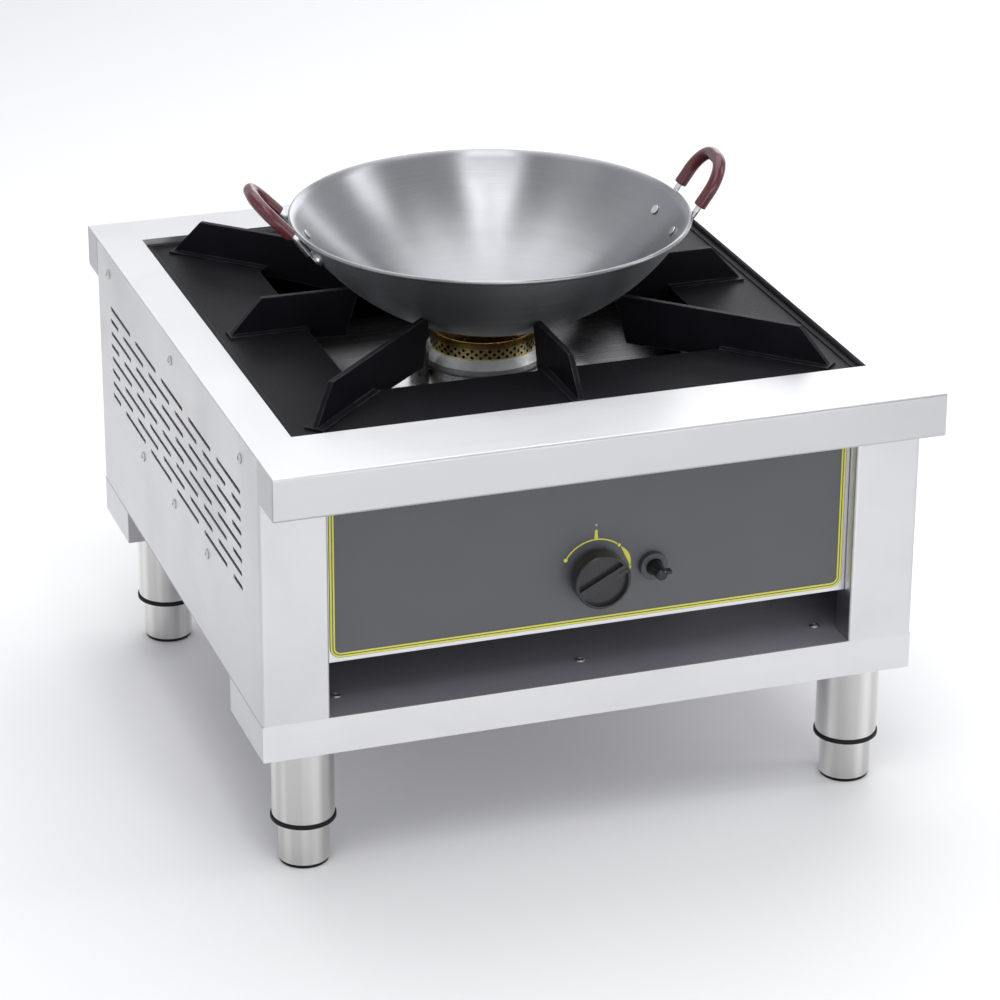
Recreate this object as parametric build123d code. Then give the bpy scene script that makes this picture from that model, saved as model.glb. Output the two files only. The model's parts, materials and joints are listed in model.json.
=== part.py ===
from build123d import *
import math
import os

# Gas wok range: a low stainless casing on four legs, a finned grate over a spill pan,
# a brass-crowned burner with its gas train, a control panel and a two-handled wok.
#
# Millimetres. The origin is on the floor under the worktop's centre. +Z is up, the
# controls face -Y, and +X is to the right of someone standing at the controls.

os.makedirs("parts", exist_ok=True)

# ---------------------------------------------------------------- driving dimensions
# casing
width = 550.0
depth = 600.0
height = 364.0
leg_length = 105.5
plinth_height = 31.2
sheet = 1.5
fold_radius = 2.5
front_overhang = 44.2
rear_overhang = 32.0
skirt_height = 36.0
skirt_lip = 14.0
post_width = 55.0
post_return = 26.0
rear_return = 20.0
front_beam_depth = 98.0
rear_beam_depth = 82.0
seam_gap = 0.2

# square well in the worktop
well_side_rail = 36.0
well_front_rail = 31.8
well_rear_rail = 20.0
well_ledge = 12.0

# cooling slots in each side
slot_height = 3.8
slot_bevel = 1.27
slot_long = 71.0
slot_short = 28.0
slot_gap = 17.7
slot_row_pitch = 11.6
slot_rows = 8
slot_long_count = 5
slot_field_shift = 3.0
slot_top_drop = 49.6

# fasteners
screw_radius = 2.0
screw_head_radius = 4.2
screw_head_height = 1.8
screw_grip = 5.0
hole_clearance = 0.2
side_screw_top_drop = 20.0
side_screw_top_pitch = 216.0
side_screw_low_drop = 147.5
side_screw_low_pitch = 106.0
side_screw_shift = 2.0
side_screw_count = 3
floor_bolt_side_inset = 70.0
floor_bolt_front_inset = 36.0
floor_bolt_rear_inset = 40.0

# legs
leg_side_inset = 40.0
leg_front_inset = 30.8
leg_rear_inset = 55.0
leg_radius = 25.4
leg_wall = 1.5
collar_radius = 26.6
collar_flange = 3.5
collar_spigot = 15.0
foot_radius = 21.0
foot_wall = 2.0
foot_shown = 38.0
foot_hidden = 44.0
pad_height = 3.0
pad_radius = 19.8
running_gap = 0.05
fixed_gap = 0.02

# control panel
panel_recess = 12.0
panel_bottom_drop = 186.0
panel_return = 22.0
fascia_thickness = 0.8
fascia_margin = 3.5
fascia_top_drop = 30.0
fascia_corner = 9.0

# gas tap and knob
knob_x = 3.2
knob_drop = 140.3
knob_radius = 23.0
knob_skirt_radius = 20.5
knob_skirt_length = 4.0
knob_length = 15.5
knob_gap = 3.8
knob_push = 3.0
knob_edge = 1.2
grip_width = 7.5
grip_depth = 4.0
grip_angle = 28.0
scoop_margin = 2.2
pointer_length = 7.0
pointer_width = 1.6
pointer_depth = 0.8
stem_radius = 4.0
stem_in_knob = 10.0
stem_in_plug = 10.0
socket_spare = 1.0
plug_radius = 8.0
plug_length = 28.0
tap_neck_radius = 9.0
tap_flange_radius = 17.0
tap_flange_thickness = 4.0
tap_body_radius = 15.0
tap_body_length = 44.0
boss_radius = 8.5
boss_length = 22.0
boss_margin = 2.0

# piezo igniter
igniter_x = 51.0
igniter_drop = 139.0
igniter_collar_radius = 11.5
igniter_collar_depth = 6.0
igniter_sleeve_radius = 9.0
igniter_sleeve_length = 16.0
igniter_body_radius = 10.5
igniter_body_length = 34.0
button_radius = 6.6
button_shown = 24.0
button_tip_radius = 4.6
button_hidden = 7.0
thumb_tab_reach = 9.5
thumb_tab_setback = 4.0
thumb_tab_length = 6.0
thumb_tab_thickness = 3.0
spark_tail = 8.0
spark_tail_radius = 2.2

# grate
grate_gap = 2.0
grate_drop = 6.0
grate_thickness = 7.0
grate_opening_width = 319.0
grate_opening_depth = 299.0
grate_opening_corner = 10.0
grate_border = 5.0
grate_border_height = 1.5
fin_count = 8
fin_thickness = 4.5
fin_height = 31.0
fin_slope_run = 28.0
fin_edge_gap = 10.0
corner_fin_gap = 13.6
fin_tip_rake = 11.0
fin_tip_drop = 10.0
fin_root_lap = 12.0
fin_ledge_width = 17.0
fin_ledge_height = 2.0
fin_seat_half = 4.0
wok_seat_gap = 0.3

# spill pan
pan_sheet = 1.0
pan_gap = 1.0
pan_drop = 39.0
pan_floor_width = 320.0
pan_hole_gap = 2.0
pan_hole_lip = 4.0
pan_pilot_gap = 1.0

# wok
cook_x = 1.0
rim_radius = 164.5
rim_height = 76.0
bowl_depth = 95.5
bowl_wall = 1.5
flat_rise = 3.4
bead_width = 3.0
bead_height = 3.4
bead_bevel = 0.85
wall_middle_angle = 40.0
wire_radius = 2.5
handle_half_span = 30.0
handle_turn = -6.0
handle_reach = 44.0
handle_corner = 25.0
handle_bend = 6.0
right_handle_flare = 4.0
left_handle_flare = 15.0
wire_standoff = 1.2
wire_bead_gap = 1.0
foot_wire_length = 21.0
eye_radius = 7.0
eye_thickness = 2.4
rivet_radius = 2.4
rivet_head_radius = 4.2
rivet_head_height = 1.4
drill_length = 12.0
grip_radius = 5.4
grip_start = 5.0

# burner
burner_x = -4.5
crown_radius = 45.0
crown_wall = 3.0
crown_foot_drop = 36.3
crown_height = 13.8
cap_thickness = 2.0
cap_radius = 43.0
cap_flat_radius = 25.2
port_rows = 3
ports_per_row = 38
port_radius = 1.15
port_sides = 6
port_row_pitch = 2.9
port_first_rise = 1.9
burner_rim_radius = 46.5
burner_flare_radius = 51.5
burner_flare_drop = 43.5
burner_shoulder_drop = 51.5
burner_neck_drop = 72.0
burner_neck_radius = 30.0
burner_base_drop = 103.0
burner_wall = 5.0
mixer_drop = 86.0
mixer_boss_radius = 17.0
mixer_boss_reach = 37.0
mixer_radius = 14.0
mixer_wall = 3.0
mixer_flange = 4.0
mixer_mouth_radius = 20.0
mixer_mouth_length = 14.0
shutter_thickness = 2.0
shutter_hole_radius = 11.0
support_width = 34.0
support_height = 15.0
injector_gap = 16.0
injector_radius = 5.0
injector_length = 12.0
injector_bore = 1.1
holder_radius = 9.0
holder_length = 22.0
holder_bracket_width = 24.0
holder_bracket_drop = 26.0

# pilot group
pilot_angle = 181.0
pilot_reach = 60.0
pilot_pitch = 14.0
pilot_plate_in = 51.5
pilot_plate_out = 67.0
pilot_plate_width = 42.0
pilot_plate_drop = 60.0
pilot_lug_thickness = 6.0
pilot_lug_reach = 55.0
pilot_lug_width = 16.0
pilot_radius = 4.5
pilot_top_drop = 28.5
pilot_bottom_drop = 78.0
probe_radius = 2.5
probe_top_drop = 30.0
ceramic_radius = 3.5
spark_radius = 1.1
spark_top_drop = 27.0
ceramic_top_drop = 36.0

# pipes and inlet
supply_radius = 6.0
main_radius = 5.0
pilot_pipe_radius = 2.0
pilot_pipe_lead = 50.0
pilot_pipe_rise = 15.0
pipe_wall = 2.0
pipe_bend = 14.0
supply_bend = 13.0
main_pipe_run = 39.0
inlet_side_inset = 75.0
inlet_drop = 29.0
inlet_thread_radius = 10.48
inlet_root_radius = 10.0
inlet_thread_length = 15.0
inlet_hex_radius = 14.0
inlet_hex_length = 8.0
inlet_bore = 5.0
locknut_radius = 15.5
locknut_length = 6.0
inlet_shank_radius = 9.0
inlet_shank_length = 24.0
supply_inset = 75.0

# ---------------------------------------------------------------- derived places
half_width = width / 2
body_front = -depth / 2 + front_overhang
body_rear = depth / 2 - rear_overhang
body_bottom = leg_length + plinth_height
skirt_bottom = height - skirt_height
inside_top = height - sheet
post_inner = half_width - post_width
fascia_front = body_front + panel_recess
panel_front = fascia_front + fascia_thickness
panel_back = panel_front + sheet
panel_bottom = height - panel_bottom_drop
well_front = body_front + well_front_rail
well_rear = body_rear - well_rear_rail
well_width = width - 2 * well_side_rail
well_length = well_rear - well_front
well_y = (well_front + well_rear) / 2
knob_z = height - knob_drop
igniter_z = height - igniter_drop
grate_top = height - grate_drop
grate_bottom = grate_top - grate_thickness
pan_flange_bottom = grate_bottom - pan_sheet
pan_floor_z = pan_flange_bottom - pan_drop
pan_hole_radius = burner_flare_radius + pan_hole_gap
well_ledge_z = pan_flange_bottom - sheet
ridge_z = grate_top + fin_height
side_fin_reach = min(well_width, well_length) / 2 - fin_edge_gap
corner_fin_reach = side_fin_reach * math.sqrt(2) - corner_fin_gap
rim_z = height + rim_height
bowl_radius = (rim_radius ** 2 + bowl_depth ** 2) / (2 * bowl_depth)
bowl_centre_z = rim_z - bowl_depth + bowl_radius
flat_z = rim_z - bowl_depth + flat_rise
rim_polar = math.degrees(math.asin(rim_radius / bowl_radius))
fin_contact_radius = math.sqrt(bowl_radius ** 2 - (bowl_centre_z - ridge_z + fin_seat_half / 2) ** 2)
seat_slope = fin_contact_radius / math.sqrt((bowl_radius + wok_seat_gap) ** 2 - fin_contact_radius ** 2)
eye_top = fixed_gap + wire_standoff + eye_thickness / 2
rivet_head_sag = 2 * fixed_gap + rivet_head_radius ** 2 / (2 * (bowl_radius - bowl_wall))
handle_headings = (handle_turn, 180 + handle_turn)
pilot_parts = {
    "pilot": (pilot_pitch, pilot_radius),
    "spark": (0, ceramic_radius),
    "probe": (-pilot_pitch, probe_radius),
}
handle_flares = {"right": right_handle_flare, "left": left_handle_flare}
crown_foot_z = height - crown_foot_drop
mixer_z = height - mixer_drop
support_top = height - burner_base_drop
tap_port_y = panel_back + tap_body_length - boss_radius - boss_margin
holder_front = tap_port_y + main_pipe_run
injector_tip = holder_front + holder_length + injector_length
shutter_front = injector_tip + injector_gap
mixer_front = shutter_front + shutter_thickness
mixer_rear = well_y - mixer_boss_reach
inlet_x = -half_width + inlet_side_inset
inlet_z = knob_z - inlet_drop
leg_places = {
    "front_left": (-half_width + leg_side_inset, body_front + leg_front_inset),
    "front_right": (half_width - leg_side_inset, body_front + leg_front_inset),
    "rear_left": (-half_width + leg_side_inset, body_rear - leg_rear_inset),
    "rear_right": (half_width - leg_side_inset, body_rear - leg_rear_inset),
}


# ---------------------------------------------------------------- helpers
def block(x0, x1, y0, y1, z0, z1):
    """A box between two corners."""
    low = (Align.MIN, Align.MIN, Align.MIN)
    return Pos(x0, y0, z0) * Box(x1 - x0, y1 - y0, z1 - z0, align=low)


def upright(x, y, z0, z1, radius):
    """A vertical cylinder."""
    foot = (Align.CENTER, Align.CENTER, Align.MIN)
    return Pos(x, y, z0) * Cylinder(radius, z1 - z0, align=foot)


def along_y(x, z, y0, y1, radius):
    """A cylinder from front to rear."""
    foot = (Align.CENTER, Align.CENTER, Align.MIN)
    return Pos(x, y0, z) * Rot(-90, 0, 0) * Cylinder(radius, y1 - y0, align=foot)


def along_x(y, z, x0, x1, radius):
    """A cylinder from left to right."""
    foot = (Align.CENTER, Align.CENTER, Align.MIN)
    return Pos(x0, y, z) * Rot(0, 90, 0) * Cylinder(radius, x1 - x0, align=foot)


def folded(corners, thickness, side):
    """The section of a folded sheet along an outline, with round outer corners."""
    outline = FilletPolyline(*corners, radius=fold_radius)
    return make_face(offset(outline, amount=thickness, side=side))


def turned(points, x, y):
    """A solid of revolution about a vertical axis, from (radius, z) points."""
    section = Plane.XZ * make_face(Polyline(*points, close=True))
    return Pos(x, y, 0) * revolve(section, Axis.Z)


def turned_y(points, x, z):
    """A solid of revolution about a front-to-rear axis, from (radius, y) points."""
    section = make_face(Polyline(*points, close=True))
    return Pos(x, 0, z) * revolve(section, Axis.Y)


def pipe(points, radius, bend):
    """A round bar along straight runs joined by arcs."""
    path = FilletPolyline(*points, radius=bend)
    section = Plane(origin=path @ 0, z_dir=path % 0) * Circle(radius)
    return sweep(section, path=path)


def save(solids, name):
    """Write one named piece, or one named group of like pieces."""
    shape = Compound(children=solids) if isinstance(solids, list) else solids
    export_step(shape, f"parts/{name}.step")


def well_block(inset, z0, z1):
    """A block that fills the worktop's well, less an inset all round."""
    half = well_width / 2 - inset
    return block(-half, half, well_front + inset, well_rear - inset, z0, z1)


# ---------------------------------------------------------------- casing
def worktop():
    """One pressing: top with a square hole, front and rear skirts with return lips, cheeks."""
    front = -depth / 2
    rear = depth / 2
    corners = [
        (front + skirt_lip, skirt_bottom),
        (front, skirt_bottom),
        (front, height),
        (rear, height),
        (rear, skirt_bottom),
        (rear - skirt_lip, skirt_bottom),
    ]
    section = Plane.YZ * folded(corners, sheet, Side.RIGHT)
    top = Pos(-half_width, 0, 0) * extrude(section, width)
    for side in (-1, 1):
        inner = side * (half_width - sheet)
        outer = side * half_width
        left, right = min(inner, outer), max(inner, outer)
        for y0, y1 in ((front + fold_radius, body_front), (body_rear, rear - fold_radius)):
            top += block(left, right, y0, y1, skirt_bottom, inside_top)
    return top - well_block(0, inside_top, height)


def well_frame():
    """The frame welded under the worktop's hole: four walls and the ledge the pan hangs on."""
    frame = well_block(-sheet, well_ledge_z, inside_top)
    frame -= well_block(0, pan_flange_bottom, inside_top)
    return frame - well_block(well_ledge, well_ledge_z, pan_flange_bottom)


def slot(length, y0, z):
    """A cooling slot with its ends cut round, through a side sheet."""
    half = slot_height / 2
    bevel = slot_bevel
    outline = [
        (y0, z - half + bevel),
        (y0 + bevel, z - half),
        (y0 + length - bevel, z - half),
        (y0 + length, z - half + bevel),
        (y0 + length, z + half - bevel),
        (y0 + length - bevel, z + half),
        (y0 + bevel, z + half),
        (y0, z + half - bevel),
    ]
    return make_face(Plane.YZ * Polyline(*outline, close=True))


def slot_field():
    """Eight staggered rows: long slots only, then long slots between two short ones."""
    faces = []
    long_row = slot_long_count * (slot_long + slot_gap) - slot_gap
    short_row = long_row - slot_long + 2 * slot_short + slot_gap
    for row in range(slot_rows):
        z = height - slot_top_drop - row * slot_row_pitch
        if row % 2 == 0:
            lengths = [slot_long] * slot_long_count
            y = well_y - slot_field_shift - long_row / 2
        else:
            lengths = [slot_short] + [slot_long] * (slot_long_count - 1) + [slot_short]
            y = well_y - slot_field_shift - short_row / 2
        for length in lengths:
            faces.append(slot(length, y, z))
            y += length + slot_gap
    return faces


def side_screw_places():
    """Height and depth of each casing screw on one side."""
    places = []
    centre = well_y - side_screw_shift
    middle = (side_screw_count - 1) / 2
    for i in range(side_screw_count):
        places.append((centre + (i - middle) * side_screw_top_pitch, height - side_screw_top_drop))
        places.append((centre + (i - middle) * side_screw_low_pitch, height - side_screw_low_drop))
    return places


def side_panel(side):
    """A side sheet with its front post and rear return folded on, slotted for air."""
    outer = side * half_width
    corners = [
        (side * post_inner, body_front + post_return),
        (side * post_inner, body_front),
        (outer, body_front),
        (outer, body_rear),
        (outer - side * rear_return, body_rear),
    ]
    inward = Side.LEFT if side > 0 else Side.RIGHT
    panel = Pos(0, 0, body_bottom) * extrude(folded(corners, sheet, inward), inside_top - body_bottom)
    start = min(outer, outer - side * 2 * sheet)
    cutters = [Pos(start, 0, 0) * extrude(face, 2 * sheet) for face in slot_field()]
    panel -= cutters
    for y, z in side_screw_places():
        panel -= along_x(y, z, start, start + 2 * sheet, screw_radius + hole_clearance)
    return panel


def casing_screws():
    """The sheet-metal screws of both sides."""
    screws = []
    for side in (-1, 1):
        face = side * half_width
        for y, z in side_screw_places():
            tip = face - side * screw_grip
            head = face + side * screw_head_height
            shank = along_x(y, z, min(face, tip), max(face, tip), screw_radius)
            screws.append(shank + along_x(y, z, min(face, head), max(face, head), screw_head_radius))
    return screws


def rear_panel():
    """The back sheet, held inside the side panels' returns, with the inlet hole."""
    inner = half_width - sheet - fold_radius
    y1 = body_rear - sheet
    back = block(-inner, inner, y1 - sheet, y1, body_bottom, inside_top)
    hole = inlet_root_radius + hole_clearance
    return back - along_y(inlet_x, inlet_z, y1 - 2 * sheet, y1 + sheet, hole)


def beam(y0, y1):
    """A cross member: a box section, open below, with closed ends and a lip in front of the floor."""
    top = body_bottom - sheet
    solid = block(-half_width, half_width, y0, y1, leg_length, top)
    solid -= block(-half_width + sheet, half_width - sheet, y0 + sheet, y1 - sheet, leg_length, top - sheet)
    return solid


def floor_bolt_places():
    """Where the floor plate is bolted to the cross members."""
    across = half_width - floor_bolt_side_inset
    front = body_front + floor_bolt_front_inset
    rear = body_rear - floor_bolt_rear_inset
    return [(x, y) for x in (-across, 0, across) for y in (front, rear)]


def drilled_beam(y0, y1):
    """A cross member with the floor's bolt holes."""
    solid = beam(y0, y1)
    for x, y in floor_bolt_places():
        if y0 < y < y1:
            solid -= upright(x, y, body_bottom - 4 * sheet, body_bottom, screw_radius + hole_clearance)
    return solid


def front_cross_member():
    """The front cross member, with a lip that hides the floor plate's edge."""
    solid = drilled_beam(body_front, body_front + front_beam_depth)
    return solid + block(-half_width, half_width, body_front, body_front + sheet,
                         body_bottom - sheet, body_bottom)


def floor_plate():
    """The bottom sheet, lying on both cross members under the side panels."""
    plate = block(-half_width, half_width, body_front + sheet, body_rear, body_bottom - sheet, body_bottom)
    for x, y in floor_bolt_places():
        plate -= upright(x, y, body_bottom - 2 * sheet, body_bottom + sheet, screw_radius + hole_clearance)
    return plate


def floor_bolts():
    """Pan-head bolts through the floor plate into the cross members."""
    bolts = []
    for x, y in floor_bolt_places():
        shank = upright(x, y, body_bottom - sheet - screw_grip, body_bottom, screw_radius)
        bolts.append(shank + upright(x, y, body_bottom, body_bottom + screw_head_height, screw_head_radius))
    return bolts


# ---------------------------------------------------------------- legs
def leg_tube(x, y):
    """A leg: a stainless tube with a closed top, held inside a cross member."""
    top = body_bottom - 2 * sheet
    bottom = foot_shown + collar_flange
    tube = upright(x, y, bottom, top, leg_radius)
    return tube - upright(x, y, bottom, top - leg_wall, leg_radius - leg_wall)


def leg_collar(x, y):
    """The black bush at the end of a leg: a flange under the tube and a spigot inside it."""
    spigot = leg_radius - leg_wall - fixed_gap
    flange_top = foot_shown + collar_flange
    collar = upright(x, y, foot_shown, flange_top, collar_radius)
    collar += upright(x, y, flange_top, flange_top + collar_spigot, spigot)
    return collar - upright(x, y, foot_shown, flange_top + collar_spigot, foot_radius + running_gap)


def foot(x, y):
    """A foot that slides out of its collar: a stainless cup with a closed bottom."""
    top = foot_shown + foot_hidden
    cup = upright(x, y, pad_height, top, foot_radius)
    return cup - upright(x, y, pad_height + foot_wall, top, foot_radius - foot_wall)


def pad(x, y):
    """The black pad under a foot."""
    return upright(x, y, 0, pad_height, pad_radius)


# ---------------------------------------------------------------- control panel
def control_panel():
    """The recessed steel panel: a face with returns at the sides and bottom, and its holes."""
    half = post_inner - seam_gap
    solid = block(-half, half, panel_front, panel_back, panel_bottom, inside_top)
    solid += block(-half, half, panel_front, panel_front + panel_return, panel_bottom, panel_bottom + sheet)
    for side in (-1, 1):
        inner = side * (half - sheet)
        outer = side * half
        solid += block(min(inner, outer), max(inner, outer), panel_front, panel_front + post_return / 2,
                       panel_bottom, inside_top)
    solid -= along_y(knob_x, knob_z, fascia_front, panel_back, tap_neck_radius + hole_clearance)
    solid -= along_y(igniter_x, igniter_z, fascia_front, panel_back, igniter_sleeve_radius + hole_clearance)
    return solid


def fascia():
    """The thin dark overlay on the panel, round at its lower corners."""
    half = post_inner - seam_gap - fascia_margin
    bottom = panel_bottom + fascia_margin
    top = height - fascia_top_drop
    solid = block(-half, half, fascia_front, panel_front, bottom, top)
    low_corners = solid.edges().filter_by(Axis.Y).group_by(Axis.Z)[0]
    solid = fillet(low_corners, fascia_corner)
    solid -= along_y(knob_x, knob_z, fascia_front, panel_front, tap_neck_radius + hole_clearance)
    solid -= along_y(igniter_x, igniter_z, fascia_front, panel_front, igniter_sleeve_radius + hole_clearance)
    return solid


def tap_body():
    """The brass tap: neck, panel flange, barrel, gas inlet, burner outlet and pilot outlet."""
    barrel_end = panel_back + tap_body_length
    flange_end = panel_back + tap_flange_thickness
    solid = along_y(knob_x, knob_z, fascia_front, panel_back, tap_neck_radius)
    solid += along_y(knob_x, knob_z, panel_back, flange_end, tap_flange_radius)
    solid += along_y(knob_x, knob_z, flange_end, barrel_end, tap_body_radius)
    solid += along_x(tap_port_y, knob_z, knob_x - boss_length, knob_x, boss_radius)
    solid += upright(burner_x, tap_port_y, knob_z, knob_z + boss_length, boss_radius)
    plug_start = flange_end
    bore_end = plug_start + plug_length + 2 * running_gap
    solid -= along_y(knob_x, knob_z, fascia_front, plug_start, stem_radius + running_gap)
    solid -= along_y(knob_x, knob_z, plug_start, bore_end, plug_radius + running_gap)
    solid -= along_x(tap_port_y, knob_z, knob_x - boss_length, knob_x, supply_radius - pipe_wall)
    solid -= upright(burner_x, tap_port_y, knob_z, knob_z + boss_length, main_radius - pipe_wall)
    return solid


def tap_plug():
    """The turning plug inside the tap, with a socket for the stem and a gas way across it."""
    start = panel_back + tap_flange_thickness + running_gap
    solid = along_y(knob_x, knob_z, start, start + plug_length, plug_radius)
    socket_depth = stem_in_plug + knob_push + socket_spare
    solid -= along_y(knob_x, knob_z, start, start + socket_depth, stem_radius + running_gap)
    return solid


def tap_stem():
    """The stem that the knob is pushed onto, sliding in the plug's socket."""
    front = fascia_front - knob_gap - stem_in_knob
    rear = panel_back + tap_flange_thickness + stem_in_plug
    return along_y(knob_x, knob_z, front, rear, stem_radius)


def knob():
    """A round knob with a raised grip bar across its face between two scoops."""
    back = fascia_front - knob_gap
    skirt_front = back - knob_skirt_length
    front = back - knob_length
    profile = [
        (stem_radius + fixed_gap, back),
        (knob_skirt_radius, back),
        (knob_radius, skirt_front),
        (knob_radius, front + knob_edge),
        (knob_radius - knob_edge, front),
        (0, front),
        (0, back - stem_in_knob),
        (stem_radius + fixed_gap, back - stem_in_knob),
    ]
    solid = turned_y(profile, knob_x, knob_z)
    disc = along_y(0, 0, front, front + grip_depth, knob_radius - scoop_margin)
    bar = block(-knob_radius, knob_radius, front, front + grip_depth, -grip_width / 2, grip_width / 2)
    pointer = block(knob_radius - scoop_margin - pointer_length, knob_radius, front, front + pointer_depth,
                    -pointer_width / 2, pointer_width / 2)
    turn = Pos(knob_x, 0, knob_z) * Rot(0, -grip_angle, 0)
    solid -= turn * (disc - bar)
    return solid - turn * pointer


# ---------------------------------------------------------------- igniter
def igniter_collar():
    """The collar in the panel that the igniter button slides in."""
    rear = fascia_front + igniter_sleeve_length
    collar = along_y(igniter_x, igniter_z, fascia_front - igniter_collar_depth, fascia_front,
                     igniter_collar_radius)
    collar += along_y(igniter_x, igniter_z, fascia_front, rear, igniter_sleeve_radius)
    return collar - along_y(igniter_x, igniter_z, fascia_front - igniter_collar_depth, rear,
                            button_radius + running_gap)


def igniter_button():
    """The push button: a shank in the collar that tapers to its tip, with a thumb tab beside it."""
    rear = fascia_front + button_hidden
    shoulder = fascia_front - igniter_collar_depth
    tip = fascia_front - button_shown
    profile = [
        (0, rear),
        (button_radius, rear),
        (button_radius, shoulder),
        (button_tip_radius, tip + knob_edge),
        (button_tip_radius - knob_edge, tip),
        (0, tip),
    ]
    button = turned_y(profile, igniter_x, igniter_z)
    tab_start = tip + thumb_tab_setback
    tab_half = thumb_tab_thickness / 2
    return button + block(igniter_x, igniter_x + thumb_tab_reach, tab_start, tab_start + thumb_tab_length,
                          igniter_z - tab_half, igniter_z + tab_half)


def igniter_body():
    """The piezo generator behind the panel."""
    start = fascia_front + igniter_sleeve_length
    body = along_y(igniter_x, igniter_z, start, start + igniter_body_length, igniter_body_radius)
    return body + along_y(igniter_x, igniter_z, start + igniter_body_length,
                          start + igniter_body_length + spark_tail, spark_tail_radius)


# ---------------------------------------------------------------- cooking top
def seat_point(radius):
    """Height of the line that touches the wok, with its clearance, at a fin's seat."""
    reach = bowl_radius + wok_seat_gap
    contact = fin_contact_radius
    fall = math.sqrt(reach ** 2 - contact ** 2)
    return bowl_centre_z - fall + (radius - contact) * contact / fall


def fin(reach, inner_edge):
    """One fin as a plate in the XZ plane, pointing along +X from the burner's axis."""
    seat_out = fin_contact_radius + (ridge_z - seat_point(fin_contact_radius)) / seat_slope
    seat_in = fin_contact_radius - fin_seat_half
    outline = [
        (reach, grate_top),
        (reach - fin_slope_run, ridge_z),
        (seat_out, ridge_z),
        (seat_in, seat_point(seat_in)),
        (seat_in + fin_tip_rake, grate_top - fin_tip_drop),
        (inner_edge + fin_root_lap, grate_bottom),
        (reach, grate_bottom),
    ]
    face = make_face(Plane.XZ * Polyline(*outline, close=True))
    return Pos(0, fin_thickness / 2, 0) * extrude(face, fin_thickness)


def grate_plate():
    """The enamelled square plate: a raised border round its edge and a round-cornered opening."""
    plate = well_block(grate_gap, grate_bottom, grate_top + grate_border_height)
    plate -= well_block(grate_gap + grate_border, grate_top, grate_top + grate_border_height)
    half = grate_opening_width / 2
    reach = grate_opening_depth / 2
    opening = block(cook_x - half, cook_x + half, well_y - reach, well_y + reach, grate_bottom, grate_top)
    return plate - fillet(opening.edges().filter_by(Axis.Z), grate_opening_corner)


def grate_fins():
    """Eight fins with a flange along each foot, notched over the plate's edge to carry the wok."""
    plate = grate_plate()
    corner_edge = min(grate_opening_width, grate_opening_depth) / math.sqrt(2)
    edges = (grate_opening_width / 2, corner_edge, grate_opening_depth / 2, corner_edge)
    reaches = (side_fin_reach, corner_fin_reach)
    fins = []
    for i in range(fin_count):
        inner_edge = edges[i % len(edges)]
        reach = reaches[i % len(reaches)]
        flange = block(inner_edge, reach, -fin_ledge_width / 2, fin_ledge_width / 2,
                       grate_top, grate_top + fin_ledge_height)
        place = Pos(cook_x, well_y, 0) * Rot(0, 0, i * 360 / fin_count)
        fins.append(place * (fin(reach, inner_edge) + flange) - plate)
    return fins


def pan_mouth(z):
    """Half the width and half the length of the spill pan's outer face at a height."""
    share = (z - pan_floor_z) / pan_drop
    gap = well_ledge + pan_gap
    half = pan_floor_width / 2
    across = half + share * (well_width / 2 - gap - half)
    along = half + share * (well_length / 2 - gap - half)
    return across, along


def pan_corners(z, inset):
    """The four corners of the spill pan at a height, moved in from its outer face."""
    across, along = pan_mouth(z)
    x = across - inset
    y = along - inset
    return [(-x, -y), (x, -y), (x, y), (-x, y)]


def spill_pan_walls():
    """The pan's four sloped walls, mitred where they meet."""
    walls = []
    for i in range(4):
        sections = []
        for z in (pan_floor_z + pan_sheet, pan_flange_bottom):
            outer = pan_corners(z, 0)
            inner = pan_corners(z - pan_sheet, pan_sheet)
            after = (i + 1) % 4
            outline = Polyline(outer[i], outer[after], inner[after], inner[i], close=True)
            sections.append(Pos(0, well_y, z) * make_face(outline))
        walls.append(loft(sections, ruled=True))
    return walls


def spill_pan_flange():
    """The flat rim that hangs the pan on the well's ledge."""
    x, y = pan_corners(pan_flange_bottom - pan_sheet, pan_sheet)[2]
    rim = well_block(pan_gap, pan_flange_bottom, grate_bottom)
    return rim - block(-x, x, well_y - y, well_y + y, pan_flange_bottom, grate_bottom)


def spill_pan_floor():
    """The pan's floor, with a lipped hole round the burner and a hole for each pilot part."""
    x, y = pan_corners(pan_floor_z + pan_sheet, 0)[2]
    top = pan_floor_z + pan_sheet
    lip_top = pan_floor_z + pan_hole_lip
    floor = block(-x, x, well_y - y, well_y + y, pan_floor_z, top)
    floor += upright(burner_x, well_y, pan_floor_z, lip_top, pan_hole_radius + pan_sheet)
    floor -= upright(burner_x, well_y, pan_floor_z, lip_top, pan_hole_radius)
    for turn, radius in pilot_parts.values():
        floor -= pilot_frame(turn) * upright(0, 0, pan_floor_z, top, radius + pan_pilot_gap)
    return floor


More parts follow.
